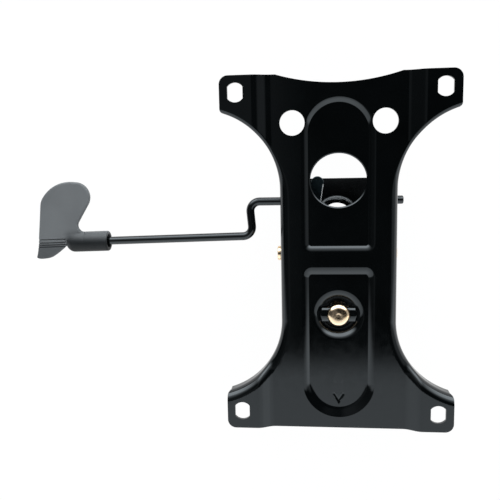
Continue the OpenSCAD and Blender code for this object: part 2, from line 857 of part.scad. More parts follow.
// Flat tongue on top of the rod's bend, with a round rear end
module lock_tongue() {
    root = rod_d;
    color(black_coat) translate([2 - crank_half, rod_behind, rod_z + rod_d / 2]) linear_extrude(tongue_t) {
        translate([-tongue_w / 2, -root]) square([tongue_w, root + tongue_l - tongue_w / 2]);
        translate([0, tongue_l - tongue_w / 2]) circle(d = tongue_w);
    }
}

// Handle, drawn with its sleeve along +X, the blade's outer edge at x = sleeve_l + blade_w
// and the chair's rear at -Y

// Outline points where a line touches two circles, each given as [x, y, r], on the right of the way from a to b
function touching(a, b) =
    let (way = [b[0] - a[0], b[1] - a[1]],
        turn = atan2(way[1], way[0]) - acos((a[2] - b[2]) / norm(way)), out = [cos(turn), sin(turn)])
    [[a[0], a[1]] + a[2] * out, [b[0], b[1]] + b[2] * out];

module blade_plan() {
    tip = sleeve_l + blade_w;
    lobe = [sleeve_l - lobe_over + lobe_r, lobe_r - blade_h, lobe_r];
    corner = [tip - blade_lean - blade_r, lobe[1] + lobe_r * 0.42, blade_r];
    rear = [(lobe[0] + corner[0]) / 2 + 1, corner[1] - 0.8, rear_r];
    neck = [sleeve_l + 3.5, -sleeve_d * 0.8, 0.01];
    for (c = [lobe, rear, corner]) translate([c[0], c[1]]) circle(c[2]);
    polygon(concat(touching(neck, lobe), touching(lobe, rear), touching(rear, corner),
        touching(corner, [tip, 0, 0.01]), [[sleeve_l - 2, 0], [sleeve_l - 2, -sleeve_d / 2 + 1]]));
}

module lip() {
    tip = sleeve_l + blade_w;
    near = sleeve_l + blade_w * 0.34;
    front = lip_reach + blade_t;
    intersection() {
        across(far) polygon([[-over, 0], [-over, -blade_t], [0, -blade_t], [lip_reach, -blade_t - lip_drop],
            [lip_reach + blade_t * 0.7, -blade_t * 0.5 - lip_drop], [blade_t * 0.5, 0]]);
        translate([0, 0, -far / 2]) linear_extrude(far) polygon([[near, -over], [tip, -over],
            [tip + lip_flare * 0.4, front * 0.5], [tip + lip_flare, front * 0.88], [tip + lip_flare * 0.8, front],
            [near + blade_w * 0.58, front * 0.95], [near + blade_w * 0.27, front * 0.45]]);
    }
}

module lever_handle() {
    end = rod_pose(len(rod_steps));
    top = sleeve_d / 2 - blade_t;
    color(grey_plastic) translate([end[0], end[1], rod_z]) rotate(end[2]) translate([-rod_grip, 0, 0]) {
        difference() {
            along_x(0, rod_grip + over * 3) circle(d = sleeve_d);
            along_x(-over, rod_grip + over) circle(d = rod_d + fit);
            along_x(-over, mouth_recess) circle(d = rod_d + 2 * mouth_gap);
        }
        difference() {
            translate([0, 0, top]) {
                translate([0, 0, -blade_t]) linear_extrude(blade_t) blade_plan();
                lip();
            }
            along_x(-over, rod_grip + over * 3) circle(d = sleeve_d - over);
        }
    }
}

lower_housing();
gas_lift_socket();
spring_cup();
spring_upper_seat();
tilt_spring();
pivot_bush_left();
pivot_bush_right();
axle_spacer();
stop_left();
stop_right();
lever_slot_liner();
seat_plate();
pivot_axle();
axle_clips();
rocker_saddle();
tension_bolt();
thrust_washer();
friction_ring();
tension_knob();
knob_nut();
knob_cap();
lever_ball_bush();
lever_rod();
lock_tongue();
lever_handle();
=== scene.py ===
import json
import math

import bmesh
import bpy
import numpy as np
from mathutils import Matrix, Vector
from mathutils.geometry import delaunay_2d_cdt

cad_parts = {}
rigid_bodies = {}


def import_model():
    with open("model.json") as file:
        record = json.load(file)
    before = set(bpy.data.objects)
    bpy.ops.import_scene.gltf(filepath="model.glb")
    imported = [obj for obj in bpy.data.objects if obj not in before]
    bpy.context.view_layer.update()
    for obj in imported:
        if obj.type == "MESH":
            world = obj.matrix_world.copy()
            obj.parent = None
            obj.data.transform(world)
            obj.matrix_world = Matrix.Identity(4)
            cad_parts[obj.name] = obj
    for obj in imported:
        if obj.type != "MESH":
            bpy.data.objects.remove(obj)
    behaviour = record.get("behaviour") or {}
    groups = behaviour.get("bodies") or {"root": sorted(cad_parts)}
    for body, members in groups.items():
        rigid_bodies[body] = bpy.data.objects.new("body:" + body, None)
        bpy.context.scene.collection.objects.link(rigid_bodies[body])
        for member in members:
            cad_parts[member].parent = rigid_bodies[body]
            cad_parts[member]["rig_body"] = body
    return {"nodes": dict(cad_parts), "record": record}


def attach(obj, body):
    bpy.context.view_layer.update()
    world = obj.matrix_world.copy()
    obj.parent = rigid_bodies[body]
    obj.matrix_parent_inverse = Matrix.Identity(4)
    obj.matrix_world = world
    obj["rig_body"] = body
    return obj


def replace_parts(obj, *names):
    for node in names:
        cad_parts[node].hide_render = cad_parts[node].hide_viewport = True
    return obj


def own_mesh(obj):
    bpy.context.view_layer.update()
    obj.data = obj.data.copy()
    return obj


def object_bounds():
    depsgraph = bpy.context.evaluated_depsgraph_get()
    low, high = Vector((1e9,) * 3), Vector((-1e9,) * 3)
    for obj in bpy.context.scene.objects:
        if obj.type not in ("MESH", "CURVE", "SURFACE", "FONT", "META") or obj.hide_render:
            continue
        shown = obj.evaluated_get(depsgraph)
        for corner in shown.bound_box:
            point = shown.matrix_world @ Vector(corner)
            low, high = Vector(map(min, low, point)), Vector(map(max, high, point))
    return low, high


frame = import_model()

cad_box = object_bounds()
nodes = frame["nodes"]

# Sizes in millimetres, in the CAD model's frame

MM = 0.001
PIVOT_Y = -25.5
BOLT_Y = -74.5
PLATE_Z = 100.0
PIVOT_DROP = 18.0
ROD_Z = 70.0
SOCKET_TOP = 50.0

WAIST = 93.4
WAIST_R = 63.0
EAR_X = 92.5
EAR_REAR = 143.2
EAR_FRONT = 145.0
EAR_R = 7.0
EAR_INNER = 115.0
EAR_RISE = 5.0
EAR_FILLET = 3.5
STEP_IN = 55.0
STEP_W = 10.0
STEP_SOFT = 2.6
DIP_HALF = 49.0
DIP = 7.3
EDGE_STEP = 2.5
SHEET = 2.5
BEND = 7.5
REAR_BEND = 3.0
REAR_BEND_SPAN = (46.0, 84.0)
FLANGE = 10.0
LUG = 30.0
LUG_SPAN = (24, 36)
ARC_X = WAIST / 2 + WAIST_R
ARC_Y = EAR_INNER - math.sqrt(WAIST_R**2 - (ARC_X - EAR_X) ** 2)
ROLL = BEND * math.pi / 2

# Pockets as (square end, round end, half width at the rim, stretch of the square end), from the pivot
POCKETS = [(2.4, 126.9, 29.5, 1.0), (-8.5, -135.9, 29.5, 1.16)]
POCKET_CORNER = 8.0

# Where along Y the pockets' side walls turn into the walls of their round ends
FRONT_END = (-107.5, -119.0)
REAR_END = (104.0, 114.0)

# Walls as the widths over which the slope grows, stays and ends, and the slope
SIDE_WALL = (4.6, 0.8, 0.5, 0.68)
FRONT_WALL = (0.5, 5.2, 2.8, 0.335)
REAR_WALL = (2.4, 1.85, 0.4, 0.71)
REAR_WALL_INSET = 1.2
RIM_FRONT_WALL = (3.0, 9, 1, 0.73)
RIM_REAR_WALL = (7.4, 9, 1, 0.80)
LIP_WALL = (0.3, 0.6, 0.1, 0.85)

# Lines of the pressed front mark as (from, to, depth): a V and its fainter stem
MARK = [((-3.4, -116.3), (0, -121.6), 0.28), ((3.4, -116.3), (0, -121.6), 0.28),
        ((-2.8, -107), (-2.8, -115.5), 0.1), ((2.8, -107), (2.8, -115.5), 0.1)]
MARK_HALF = 1.4

# Holes: the large one as (y, half width, half length), then the seat slots, lightening holes and axle holes
HOLE = (60.4, 22.25, 21.3)
HOLE_LIP = 0.9
SLOT_AT = (80, 130)
SLOT_R = 7.5
SLOT_HALF = 6
LIGHT_HOLE = (36.1, 105.8, 9.8)
AXLE_HOLE_R = 6.03

# Rolled-in rim around the saddle's window, measured from the pivot
RING_Y = -49.1
RIM_R = 21.2
WINDOW_R = 14.95

# Rows of corners inside the pockets' rims, around the ring and outside the large hole, and grids between
POCKET_ROWS = (0, 0.4, 0.75, 1.2, 1.8, 2.6, 3.4, 4.1, 4.7, 5.1, 5.4, 5.65, 5.9, 6.4, 7.0, 7.6, 8.1, 8.5)
RING_ROWS = (21.6, 21.2, 20.8, 20.3, 19.7, 19.1, 18.2, 17.2, 16.2, 15.5)
HOLE_ROWS = (0.35, 0.65, 0.95, 1.3)
FIELD = (-95, 95, -150, 150)
FINE_STEP = 1.15
COARSE_STEP = 3.4
NORMAL_INSET = 0.05
PROBE = 0.02


# Mesh helpers


def unit(v):
    return v / np.maximum(np.linalg.norm(v, axis=-1, keepdims=True), 1e-12)


def inside(points, loops):
    """Which points lie inside the loops, a loop within a loop being a hole."""
    odd = np.zeros(len(points), bool)
    for loop in loops:
        a = np.asarray(loop, float)
        b = np.roll(a, -1, axis=0)
        for (x0, y0), (x1, y1) in zip(a, b):
            if y0 == y1:
                continue
            across = (points[:, 1] > min(y0, y1)) & (points[:, 1] <= max(y0, y1))
            at = x0 + (points[:, 1] - y0) * (x1 - x0) / (y1 - y0)
            odd ^= across & (points[:, 0] < at)
    return odd


def edge_distance(points, lines, closed=True):
    """Distance from each point to the nearest of the lines."""
    best = np.full(len(points), 1e9)
    for line in lines:
        a = np.asarray(line, float)
        d = np.roll(a, -1, axis=0) - a
        if not closed:
            a, d = a[:-1], d[:-1]
        for p, e in zip(a, d):
            t = np.clip(((points - p) @ e) / max(e @ e, 1e-12), 0, 1)
            best = np.minimum(best, np.linalg.norm(points - p - t[:, None] * e, axis=1))
    return best


def fill(loops, points, lines=()):
    """Corners and triangles between the loops, with the points inside and edges along the lines."""
    corners, edges = [], []
    for loop in [*loops, *lines]:
        first = len(corners)
        corners += [tuple(p) for p in loop]
        edges += [(first + i, first + (i + 1) % len(loop)) for i in range(len(loop))]
    points = points[inside(points, loops)]
    corners = np.array(corners + [tuple(p) for p in points])
    found = delaunay_2d_cdt([Vector(c) for c in corners], edges, [], 0, 1e-6)
    flat = np.array([tuple(v) for v in found[0]])
    faces = np.array(found[2])
    faces = faces[inside(flat[faces].mean(axis=1), loops)]
    return flat, faces


def lattice(x0, x1, y0, y1, step):
    """A grid of points in rows that are offset by half a step."""
    rows = []
    for n, y in enumerate(np.arange(y0, y1, step * 0.87)):
        x = np.arange(x0 + (n % 2) * step / 2, x1, step)
        rows.append(np.stack([x, np.full_like(x, y)], 1))
    return np.concatenate(rows)


def arc(cx, cy, r, a0, a1, step):
    count = max(2, int(abs(math.radians(a1 - a0)) * r / step) + 1)
    a = np.radians(np.linspace(a0, a1, count + 1))
    return np.stack([cx + r * np.cos(a), cy + r * np.sin(a)], 1)


def curve_through(points, step):
    """Points about a step apart on a smooth curve through the given ones."""
    p = np.asarray(points, float)
    p = np.concatenate([[2 * p[0] - p[1]], p, [2 * p[-1] - p[-2]]])
    out = []
    for a, b, c, d in zip(p, p[1:], p[2:], p[3:]):
        count = max(1, int(np.linalg.norm(c - b) / step))
        linear, square, cube = c - a, 2 * a - 5 * b + 4 * c - d, 3 * b - a - 3 * c + d
        for t in np.arange(count) / count:
            out.append(0.5 * (2 * b + linear * t + square * t**2 + cube * t**3))
    return np.array([*out, p[-2]])


def make(name, verts, faces, body, finish, normals=None, sharp=30):
    """A mesh piece from millimetres in the part's frame, riding a body."""
    mesh = bpy.data.meshes.new(name)
    corners = [tuple(v) for v in np.asarray(verts) * MM]
    mesh.from_pydata(corners, [], [tuple(int(i) for i in f) for f in faces])
    if normals is None:
        mesh.validate()
    mesh.polygons.foreach_set("use_smooth", [True] * len(mesh.polygons))
    if normals is not None:
        mesh.normals_split_custom_set([tuple(n) for n in normals])
    else:
        mark_sharp(mesh, sharp)
    return placed(mesh, body, finish)


def placed(mesh, body, finish):
    """A mesh as a piece of the same name, riding a body."""
    mesh.materials.append(finish)
    obj = bpy.data.objects.new(mesh.name, mesh)
    bpy.context.scene.collection.objects.link(obj)
    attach(obj, body)
    return obj


def mark_sharp(mesh, degrees):
    """Edges that turn by more than this stay crisp."""
    bm = bmesh.new()
    bm.from_mesh(mesh)
    bmesh.ops.recalc_face_normals(bm, faces=bm.faces)
    for e in bm.edges:
        e.smooth = len(e.link_faces) == 2 and e.calc_face_angle(0) < math.radians(degrees)
    bm.to_mesh(mesh)
    bm.free()


def revolve(profile, sides):
    """Verts and faces of (radius, height) points turned about the Z axis. A radius of 0 closes an end."""
    verts, faces, rings = [], [], []
    for r, z in profile:
        if r < 1e-9:
            rings.append([len(verts)])
            verts.append((0, 0, z))
            continue
        rings.append(list(range(len(verts), len(verts) + sides)))
        turn = 2 * math.pi * np.arange(sides) / sides
        verts += [(r * math.cos(a), r * math.sin(a), z) for a in turn]
    for a, b in zip(rings, rings[1:]):
        for k in range(sides):
            n = (k + 1) % sides
            if len(a) == 1:
                faces.append((a[0], b[n], b[k]))
            elif len(b) == 1:
                faces.append((a[k], a[n], b[0]))
            else:
                faces.append((a[k], a[n], b[n], b[k]))
    return np.array(verts, float), faces


def loft(rings):
    """Verts and faces of a skin over closed rings of points, with its two ends closed."""
    count = len(rings[0])
    faces = []
    for i in range(len(rings) - 1):
        for k in range(count):
            n = (k + 1) % count
            faces.append((i * count + k, i * count + n, (i + 1) * count + n, (i + 1) * count + k))
    faces.append(tuple(reversed(range(count))))
    faces.append(tuple(range((len(rings) - 1) * count, len(rings) * count)))
    return np.concatenate(rings), faces


def sweep(path, radii, sides):
    """A round bar along a path, with a radius for each of its points."""
    path = np.asarray(path, float)
    along = unit(np.gradient(path, axis=0))
    up = np.array([0, 0, 1.0])
    turn = 2 * math.pi * np.arange(sides) / sides
    rings = []
    for p, t, r in zip(path, along, np.broadcast_to(radii, len(path))):
        u = unit(np.cross(up, t))
        w = np.cross(t, u)
        rings.append(p + r * (np.cos(turn)[:, None] * u + np.sin(turn)[:, None] * w))
    return loft(rings)


def rounding(e, r):
    """Drop of a rounded edge at the distance e inside it."""
    return r - np.sqrt(np.maximum(r**2 - np.clip(r - e, 0, r) ** 2, 0))


def joined(*shapes):
    """Several (verts, faces) as one."""
    verts, faces, count = [], [], 0
    for v, f in shapes:
        verts.append(np.asarray(v, float))
        faces += [tuple(i + count for i in face) for face in f]
        count += len(v)
    return np.concatenate(verts), faces


def surface_normals(point, flat):
    dx = point(flat + (PROBE, 0)) - point(flat - (PROBE, 0))
    dy = point(flat + (0, PROBE)) - point(flat - (0, PROBE))
    return unit(np.cross(dx, dy))


def skinned(flat, faces, point, low_point, low_normals):
    """Verts, faces and corner normals of a sheet with a crisp edge all round.

    Normals are taken a little inside each triangle, so that folds along its edges stay crisp too.
    """
    count = len(flat)
    top, low = point(flat), low_point(flat)
    polys = [tuple(t) for t in faces] + [(t[2] + count, t[1] + count, t[0] + count) for t in faces]
    corners = flat[faces]
    toward = unit(corners.mean(axis=1, keepdims=True) - corners) * NORMAL_INSET
    near = (corners + toward).reshape(-1, 2)
    out = surface_normals(point, near).reshape(-1, 3, 3)
    under = low_normals(near).reshape(-1, 3, 3)[:, ::-1]
    normals = [*out.reshape(-1, 3), *under.reshape(-1, 3)]
    ways = {(t[i], t[(i + 1) % 3]) for t in faces for i in range(3)}
    for a, b in sorted(ways):
        if (b, a) not in ways:
            polys.append((b, a, a + count, b + count))
            normals += [unit(np.cross(top[b] - top[a], top[a] - low[a]))] * 4
    return np.concatenate([top, low]), polys, normals


BREAK_ANGLE = 30
CRISP_ANGLE = 35


def softened(node, width, finish, slack):
    """A copy of a CAD node with its sharp edges broken, in the node's place, and drawn in by the slack."""
    bm = bmesh.new()
    bm.from_mesh(nodes[node].data)
    bmesh.ops.remove_doubles(bm, verts=bm.verts, dist=1e-6)
    bmesh.ops.dissolve_limit(bm, angle_limit=math.radians(0.5), verts=bm.verts, edges=bm.edges)
    edges = [e for e in bm.edges if e.is_manifold and e.calc_face_angle(0) > math.radians(BREAK_ANGLE)]
    bmesh.ops.bevel(bm, geom=edges, offset=width * MM, offset_type="OFFSET", segments=2, profile=0.5,
                    affect="EDGES", clamp_overlap=True)
    bmesh.ops.triangulate(bm, faces=[f for f in bm.faces if len(f.verts) > 4])
    bm.normal_update()
    for v in bm.verts if slack else []:
        v.co -= v.normal * slack * MM
    mesh = bpy.data.meshes.new(node + "_soft")
    bm.to_mesh(mesh)
    bm.free()
    mesh.polygons.foreach_set("use_smooth", [True] * len(mesh.polygons))
    mark_sharp(mesh, CRISP_ANGLE)
    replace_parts(placed(mesh, nodes[node]["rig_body"], finish), node)


# Materials


def material(name):
    mat = bpy.data.materials.new(name)
    mat.use_nodes = True
    tree = mat.node_tree
    return mat, tree, tree.nodes["Principled BSDF"]


def add_node(tree, kind, **values):
    """A shader node with values for its sockets, whose names have _ for a space."""
    node = tree.nodes.new("ShaderNode" + kind)
    for name, value in values.items():
        node.inputs[name.replace("_", " ")].default_value = value
    return node


def noise(tree, scale, detail, rough=0.5, stretch=(1, 1, 1)):
    coords = add_node(tree, "TexCoord")
    place = add_node(tree, "Mapping", Scale=stretch)
    tex = add_node(tree, "TexNoise", Scale=scale, Detail=detail, Roughness=rough)
    tree.links.new(coords.outputs["Object"], place.inputs["Vector"])
    tree.links.new(place.outputs["Vector"], tex.inputs["Vector"])
    return tex.outputs["Fac"]


def spread(tree, value, low, high, start=0.3, end=0.7, smooth=False):
    """The value mapped from start and end to low and high, and held beyond them."""
    span = add_node(tree, "MapRange", From_Min=start, From_Max=end, To_Min=low, To_Max=high)
    span.interpolation_type = "SMOOTHSTEP" if smooth else "LINEAR"
    tree.links.new(value, span.inputs["Value"])
    return span.outputs["Result"]


def shade(tree, value, colours):
    """The value as a colour, from points of (place, colour)."""
    ramp = add_node(tree, "ValToRGB")
    points = ramp.color_ramp.elements
    while len(points) < len(colours):
        points.new(0.5)
    for p, (at, colour) in zip(points, colours):
        p.position = at
        p.color = (*colour, 1)
    tree.links.new(value, ramp.inputs["Fac"])
    return ramp.outputs["Color"]


def calc(tree, operation, a, b):
    """A sum on two values, each a number or another node's result."""
    node = add_node(tree, "Math")
    node.operation = operation
    for socket, value in zip(node.inputs, (a, b)):
        if isinstance(value, (int, float)):
            socket.default_value = value
        else:
            tree.links.new(value, socket)
    return node.outputs[0]


def bumps(tree, shader, layers):
    """Bumps on a shader in layers of (height, strength, depth in metres)."""
    last = None
    for value, strength, depth in layers:
        bump = add_node(tree, "Bump", Strength=strength, Distance=depth)
        tree.links.new(value, bump.inputs["Height"])
        if last:
            tree.links.new(last, bump.inputs["Normal"])
        last = bump.outputs["Normal"]
    tree.links.new(last, shader.inputs["Normal"])


def powder_coat(name, dark, light, rough, peel=0.008):
    """Sprayed and baked coat: a little orange peel, with cloudy colour and gloss."""
    mat, tree, shader = material(name)
    shader.inputs["Specular Tint"].default_value = (0.94, 1.0, 1.05, 1)
    tree.links.new(shade(tree, noise(tree, 22, 3), [(0.3, dark), (0.7, light)]), shader.inputs["Base Color"])
    tree.links.new(spread(tree, noise(tree, 160, 2), rough - 0.02, rough + 0.02), shader.inputs["Roughness"])
    bumps(tree, shader, [(noise(tree, 300, 2), peel, 0.0004), (noise(tree, 2600, 1), peel, 0.0001)])
    return mat


def plated(name, tones, rough, scratches=0.06):
    """Plated steel: cloudy passivation and fine tumbling marks."""
    mat, tree, shader = material(name)
    shader.inputs["Metallic"].default_value = 1.0
    tree.links.new(shade(tree, noise(tree, 130, 4, 0.6), tones), shader.inputs["Base Color"])
    tree.links.new(spread(tree, noise(tree, 700, 3), rough - 0.05, rough + 0.08), shader.inputs["Roughness"])
    bumps(tree, shader, [(noise(tree, 900, 3, 0.6, (1, 1, 0.2)), scratches, 0.0001)])
    return mat


def moulded(name, dark, light, rough, grain=0.25, scale=1500, painted_shade=None, gloss=0.5):
    """Moulded plastic with a fine spark-eroded grain.

    A darker tone can be painted on as shade, given as that tone and where it starts and ends along Y and
    along X in millimetres.
    """
    mat, tree, shader = material(name)
    shader.inputs["Specular IOR Level"].default_value = gloss
    cloud = noise(tree, 35, 4)
    tone = shade(tree, cloud, [(0.3, dark), (0.7, light)])
    if painted_shade:
        deep, along_y, along_x = painted_shade
        coords = add_node(tree, "TexCoord")
        split = add_node(tree, "SeparateXYZ")
        tree.links.new(coords.outputs["Object"], split.inputs[0])
        # Painted shade: the colour fades to the darker tone along Y and X, where the plastic faces away from
        # the light
        mix = add_node(tree, "Mix")
        mix.data_type = "RGBA"
        ways = [spread(tree, split.outputs[axis], 0, 1, start * MM, end * MM, True)
                for axis, (start, end) in (("Y", along_y), ("X", along_x))]
        tree.links.new(calc(tree, "MULTIPLY", *ways), mix.inputs[0])
        tree.links.new(tone, mix.inputs[6])
        tree.links.new(shade(tree, cloud, [(0.3, deep), (0.7, tuple(1.3 * c for c in deep))]), mix.inputs[7])
        tone = mix.outputs[2]
    tree.links.new(tone, shader.inputs["Base Color"])
    tree.links.new(spread(tree, noise(tree, 260, 2), rough - 0.05, rough + 0.05), shader.inputs["Roughness"])
    bumps(tree, shader, [(noise(tree, scale, 3, 0.6), grain, 0.0002), (noise(tree, 60, 2), 0.04, 0.001)])
    return mat


coat = powder_coat("black_powder_coat", (0.0007, 0.0010, 0.0011), (0.0014, 0.0018, 0.0020), 0.085)
satin = powder_coat("satin_powder_coat", (0.0008, 0.0010, 0.0011), (0.0016, 0.0019, 0.0020), 0.26, 0.02)
matte = powder_coat("matte_powder_coat", (0.0008, 0.0010, 0.0011), (0.0016, 0.0019, 0.0020), 0.6, 0.03)
rod_coat = powder_coat("rod_coat", (0.0012, 0.0015, 0.0017), (0.0024, 0.0028, 0.0030), 0.10)
gold = plated("yellow_zinc", [(0.25, (0.84, 0.60, 0.36)), (0.55, (0.92, 0.71, 0.49)),
                              (0.8, (0.90, 0.65, 0.47))], 0.15, 0.05)
zinc = plated("bright_zinc", [(0.3, (0.52, 0.54, 0.57)), (0.7, (0.66, 0.67, 0.68))], 0.3)
oiled = plated("oiled_spring_steel", [(0.3, (0.07, 0.075, 0.08)), (0.7, (0.13, 0.135, 0.14))], 0.36)
blued = plated("blued_steel", [(0.3, (0.022, 0.036, 0.044)), (0.7, (0.035, 0.052, 0.060))], 0.34)
nylon = moulded("natural_nylon", (0.62, 0.59, 0.51), (0.72, 0.69, 0.62), 0.45, 0.1)
knob_plastic = moulded("knob_plastic", (0.012, 0.012, 0.013), (0.022, 0.022, 0.023), 0.5)
GREY = ((0.097, 0.101, 0.106), (0.113, 0.118, 0.123))
# The handle and its sleeve are one grey plastic; painted shade darkens the lip, and the sleeve's front half
# to nearly black
handle_plastic_painted_shade = moulded("handle_plastic_painted_shade", *GREY, 0.47, 0.16,
                         painted_shade=((0.042, 0.046, 0.050), (-16.0, -23.0), (-230.0, -236.0)), gloss=0.2)
sleeve_plastic_painted_shade = moulded("sleeve_plastic_painted_shade", *GREY, 0.47, 0.16,
                         painted_shade=((0.004, 0.005, 0.006), (-3.0, -18.0), (-240.0, -232.0)), gloss=0.2)
# A bare sheared edge in light grey, used as a painted highlight along the tongue's lit right edge
bare_edge_painted_highlight = moulded("sheared_edge_painted_highlight", (0.42, 0.43, 0.44), (0.55, 0.56, 0.57), 0.4, 0.1)
rubber = moulded("stop_rubber", (0.012, 0.012, 0.012), (0.022, 0.021, 0.020), 0.75, 0.3, 900)

finish_of = {"black_coat": coat, "zinc_steel": zinc, "gold_zinc": gold, "nylon": nylon,
             "dark_plastic": knob_plastic, "grey_plastic": handle_plastic_painted_shade, "rubber": rubber,
             "spring_steel": oiled}
slot_of = {part["node"]: part["material_slot"] for part in frame["record"]["subparts"]}
for node, slot in slot_of.items():
    nodes[node].data.materials.clear()
    nodes[node].data.materials.append(finish_of[slot])


# Seat plate: a pressed sheet with rolled side flanges, in a frame whose origin is above the pivot


def slope(d, width, height, soft):
    """A straight slope of this width and height from d = 0, its ends rounded over soft on both sides."""

    def area(t):
        t = np.maximum(t, 0)
        on = np.minimum(t, width)
        return height / width * (on**2 / 2 + width * (t - on))

    return (area(d + soft) - area(d - soft)) / (2 * soft)


def dish(d, top, flat, foot, steep):
    """Depth at a distance d inside a rim: the slope grows over top, stays over flat and ends over foot."""
    a = np.clip(d, 0, top)
    b = np.clip(d - top, 0, flat)
    c = np.clip(d - top - flat, 0, foot)
    return steep * (a**2 / (2 * top) + b + c - c**2 / (2 * foot))


def in_pocket(x, y, start, end, half, stretch):
    """Distance inside the rim of a pocket that is square at start and round at end."""
    along = (y - start) * np.sign(end - start)
    centre = abs(end - start) - half
    side, near = np.abs(x), along / stretch
    box = np.minimum(half - side, near)
    qx, qy = side - (half - POCKET_CORNER), POCKET_CORNER - near
    box = np.where((qx > 0) & (qy > 0), POCKET_CORNER - np.hypot(qx, qy), box)
    return np.where(along > centre, half - np.hypot(x, along - centre), box)


def pocket_ring(start, end, half, stretch, d):
    """Closed line of points at the distance d inside a pocket's rim."""
    way = np.sign(end - start)
    centre = abs(end - start) - half
    w, r = half - d, max(POCKET_CORNER - d, 0.4)
    corner = arc(w - r, d + r, r, -90, 0, 0.8) * (1, stretch)
    side = [(w, t) for t in np.arange(POCKET_CORNER * stretch + 1.5, centre, 1.8)]
    right = [*corner, *side, *arc(0, centre, w, 0, 90, 1.6)]
    left = [(-x, t) for x, t in reversed(right) if x > 1e-6]
    base = np.linspace(-(w - r), w - r, 24)[1:-1]
    return [(x, start + way * t) for x, t in [*right, *left, *[(x, d * stretch) for x in base]]]


def eased(value, start, end):
    """0 before start and 1 after end, with a smooth change between them."""
    t = np.clip((value - start) / (end - start), 0, 1)
    return t**2 * (3 - 2 * t)


def hole_gap(x, y):
    """Distance outside the large hole, but no more inside it than at its edge."""
    hole_y, rx, ry = HOLE
    return np.maximum(np.hypot(x / rx, (y - hole_y) / ry) - 1, 0) * (rx + ry) / 2


def front_mark(x, y):
    """Depth of the pressed front mark."""
    deepest = np.zeros(np.shape(x))
    for (ax, ay), (bx, by), depth in MARK:
        ex, ey = bx - ax, by - ay
        t = np.clip(((x - ax) * ex + (y - ay) * ey) / (ex * ex + ey * ey), 0, 1)
        cut = np.clip(1 - np.hypot(x - ax - t * ex, y - ay - t * ey) / MARK_HALF, 0, 1)
        deepest = np.maximum(deepest, depth * cut**2 * (3 - 2 * cut))
    return deepest


def plate_height(x, y):
    """Height of the pressed sheet over its flat middle."""
    h = slope(np.abs(x) - STEP_IN, STEP_W, EAR_RISE, STEP_SOFT)
    for pocket in POCKETS:
        d = in_pocket(x, y, *pocket)
        depth = dish(d, *SIDE_WALL)
        depth = depth + (dish(d - REAR_WALL_INSET, *REAR_WALL) - depth) * eased(y, *REAR_END)
        h = h - (depth + (dish(d, *FRONT_WALL) - depth) * eased(y, *FRONT_END))
    reach = np.hypot(x, y - RING_Y)
    rim = np.minimum(RIM_R - reach, RIM_R - WINDOW_R)
    quick, slow = dish(rim, *RIM_FRONT_WALL), dish(rim, *RIM_REAR_WALL)
    h = h - (quick + (slow - quick) * eased((y - RING_Y) / np.maximum(reach, 1), -0.7, 0.7))
    h = h - dish(HOLE_LIP - hole_gap(x, y), *LIP_WALL)
    return h - front_mark(x, y)


def bend_at(x, y):
    """Radius of the flange's bend: tighter along the rear ears."""
    ax, ay = np.abs(x), np.abs(y)
    reach = np.maximum(np.hypot(ARC_X - ax, ay - ARC_Y), 1e-9)
    along = np.where(ay <= ARC_Y, y, np.sign(y) * (ARC_Y + WAIST_R * (ay - ARC_Y) / reach))
    return BEND + (REAR_BEND - BEND) * eased(along, *REAR_BEND_SPAN)


def plate_point(flat, pressed=True):
    """Where a point of the flat blank ends up with the flanges rolled down, pressed shapes or not."""
    x, y = flat[..., 0], flat[..., 1]
    ax, ay = np.abs(x), np.abs(y)
    straight = ay <= ARC_Y
    reach = np.maximum(np.hypot(ARC_X - ax, ay - ARC_Y), 1e-9)
    s = np.where(straight, WAIST / 2 - ax, reach - WAIST_R)
    bend = bend_at(x, y)
    roll = bend * math.pi / 2
    u = bend - s
    angle = np.clip(u, 0, roll) / bend
    plan = np.where(u <= 0, s, bend - bend * np.sin(angle))
    drop = np.where(u <= 0, 0, bend * (1 - np.cos(angle)) + np.maximum(u - roll, 0))
    px = np.where(straight, WAIST / 2 - plan, ARC_X + (ax - ARC_X) / reach * (WAIST_R + plan))
    py = np.where(straight, ay, ARC_Y + (ay - ARC_Y) / reach * (WAIST_R + plan))
    px, py = px * np.sign(x), py * np.sign(y)
    return np.stack([px, py, (plate_height(px, py) if pressed else 0) - drop], -1)


def flattened(points, end):
    """Places in the flat blank of plan points on the rolled bend of the rear (+1) or front (-1) ear."""
    out = []
    for x, y in points:
        ax, ay = abs(x), abs(y)
        reach = math.hypot(ARC_X - ax, ay - ARC_Y)
        plan = reach - WAIST_R
        bend = float(bend_at(x, end * y))
        if plan < bend:
            r = WAIST_R + bend - bend * math.asin(min(1, (bend - plan) / bend))
            ax, ay = ARC_X + (ax - ARC_X) / reach * r, ARC_Y + (ay - ARC_Y) / reach * r
        out.append((math.copysign(ax, x), math.copysign(ay, y)))
    return out


def flange_depth(y):
    """How far the flange hangs down: a lug around the axle, and less beyond it."""
    return float(np.interp(abs(y), LUG_SPAN, [LUG, FLANGE]))


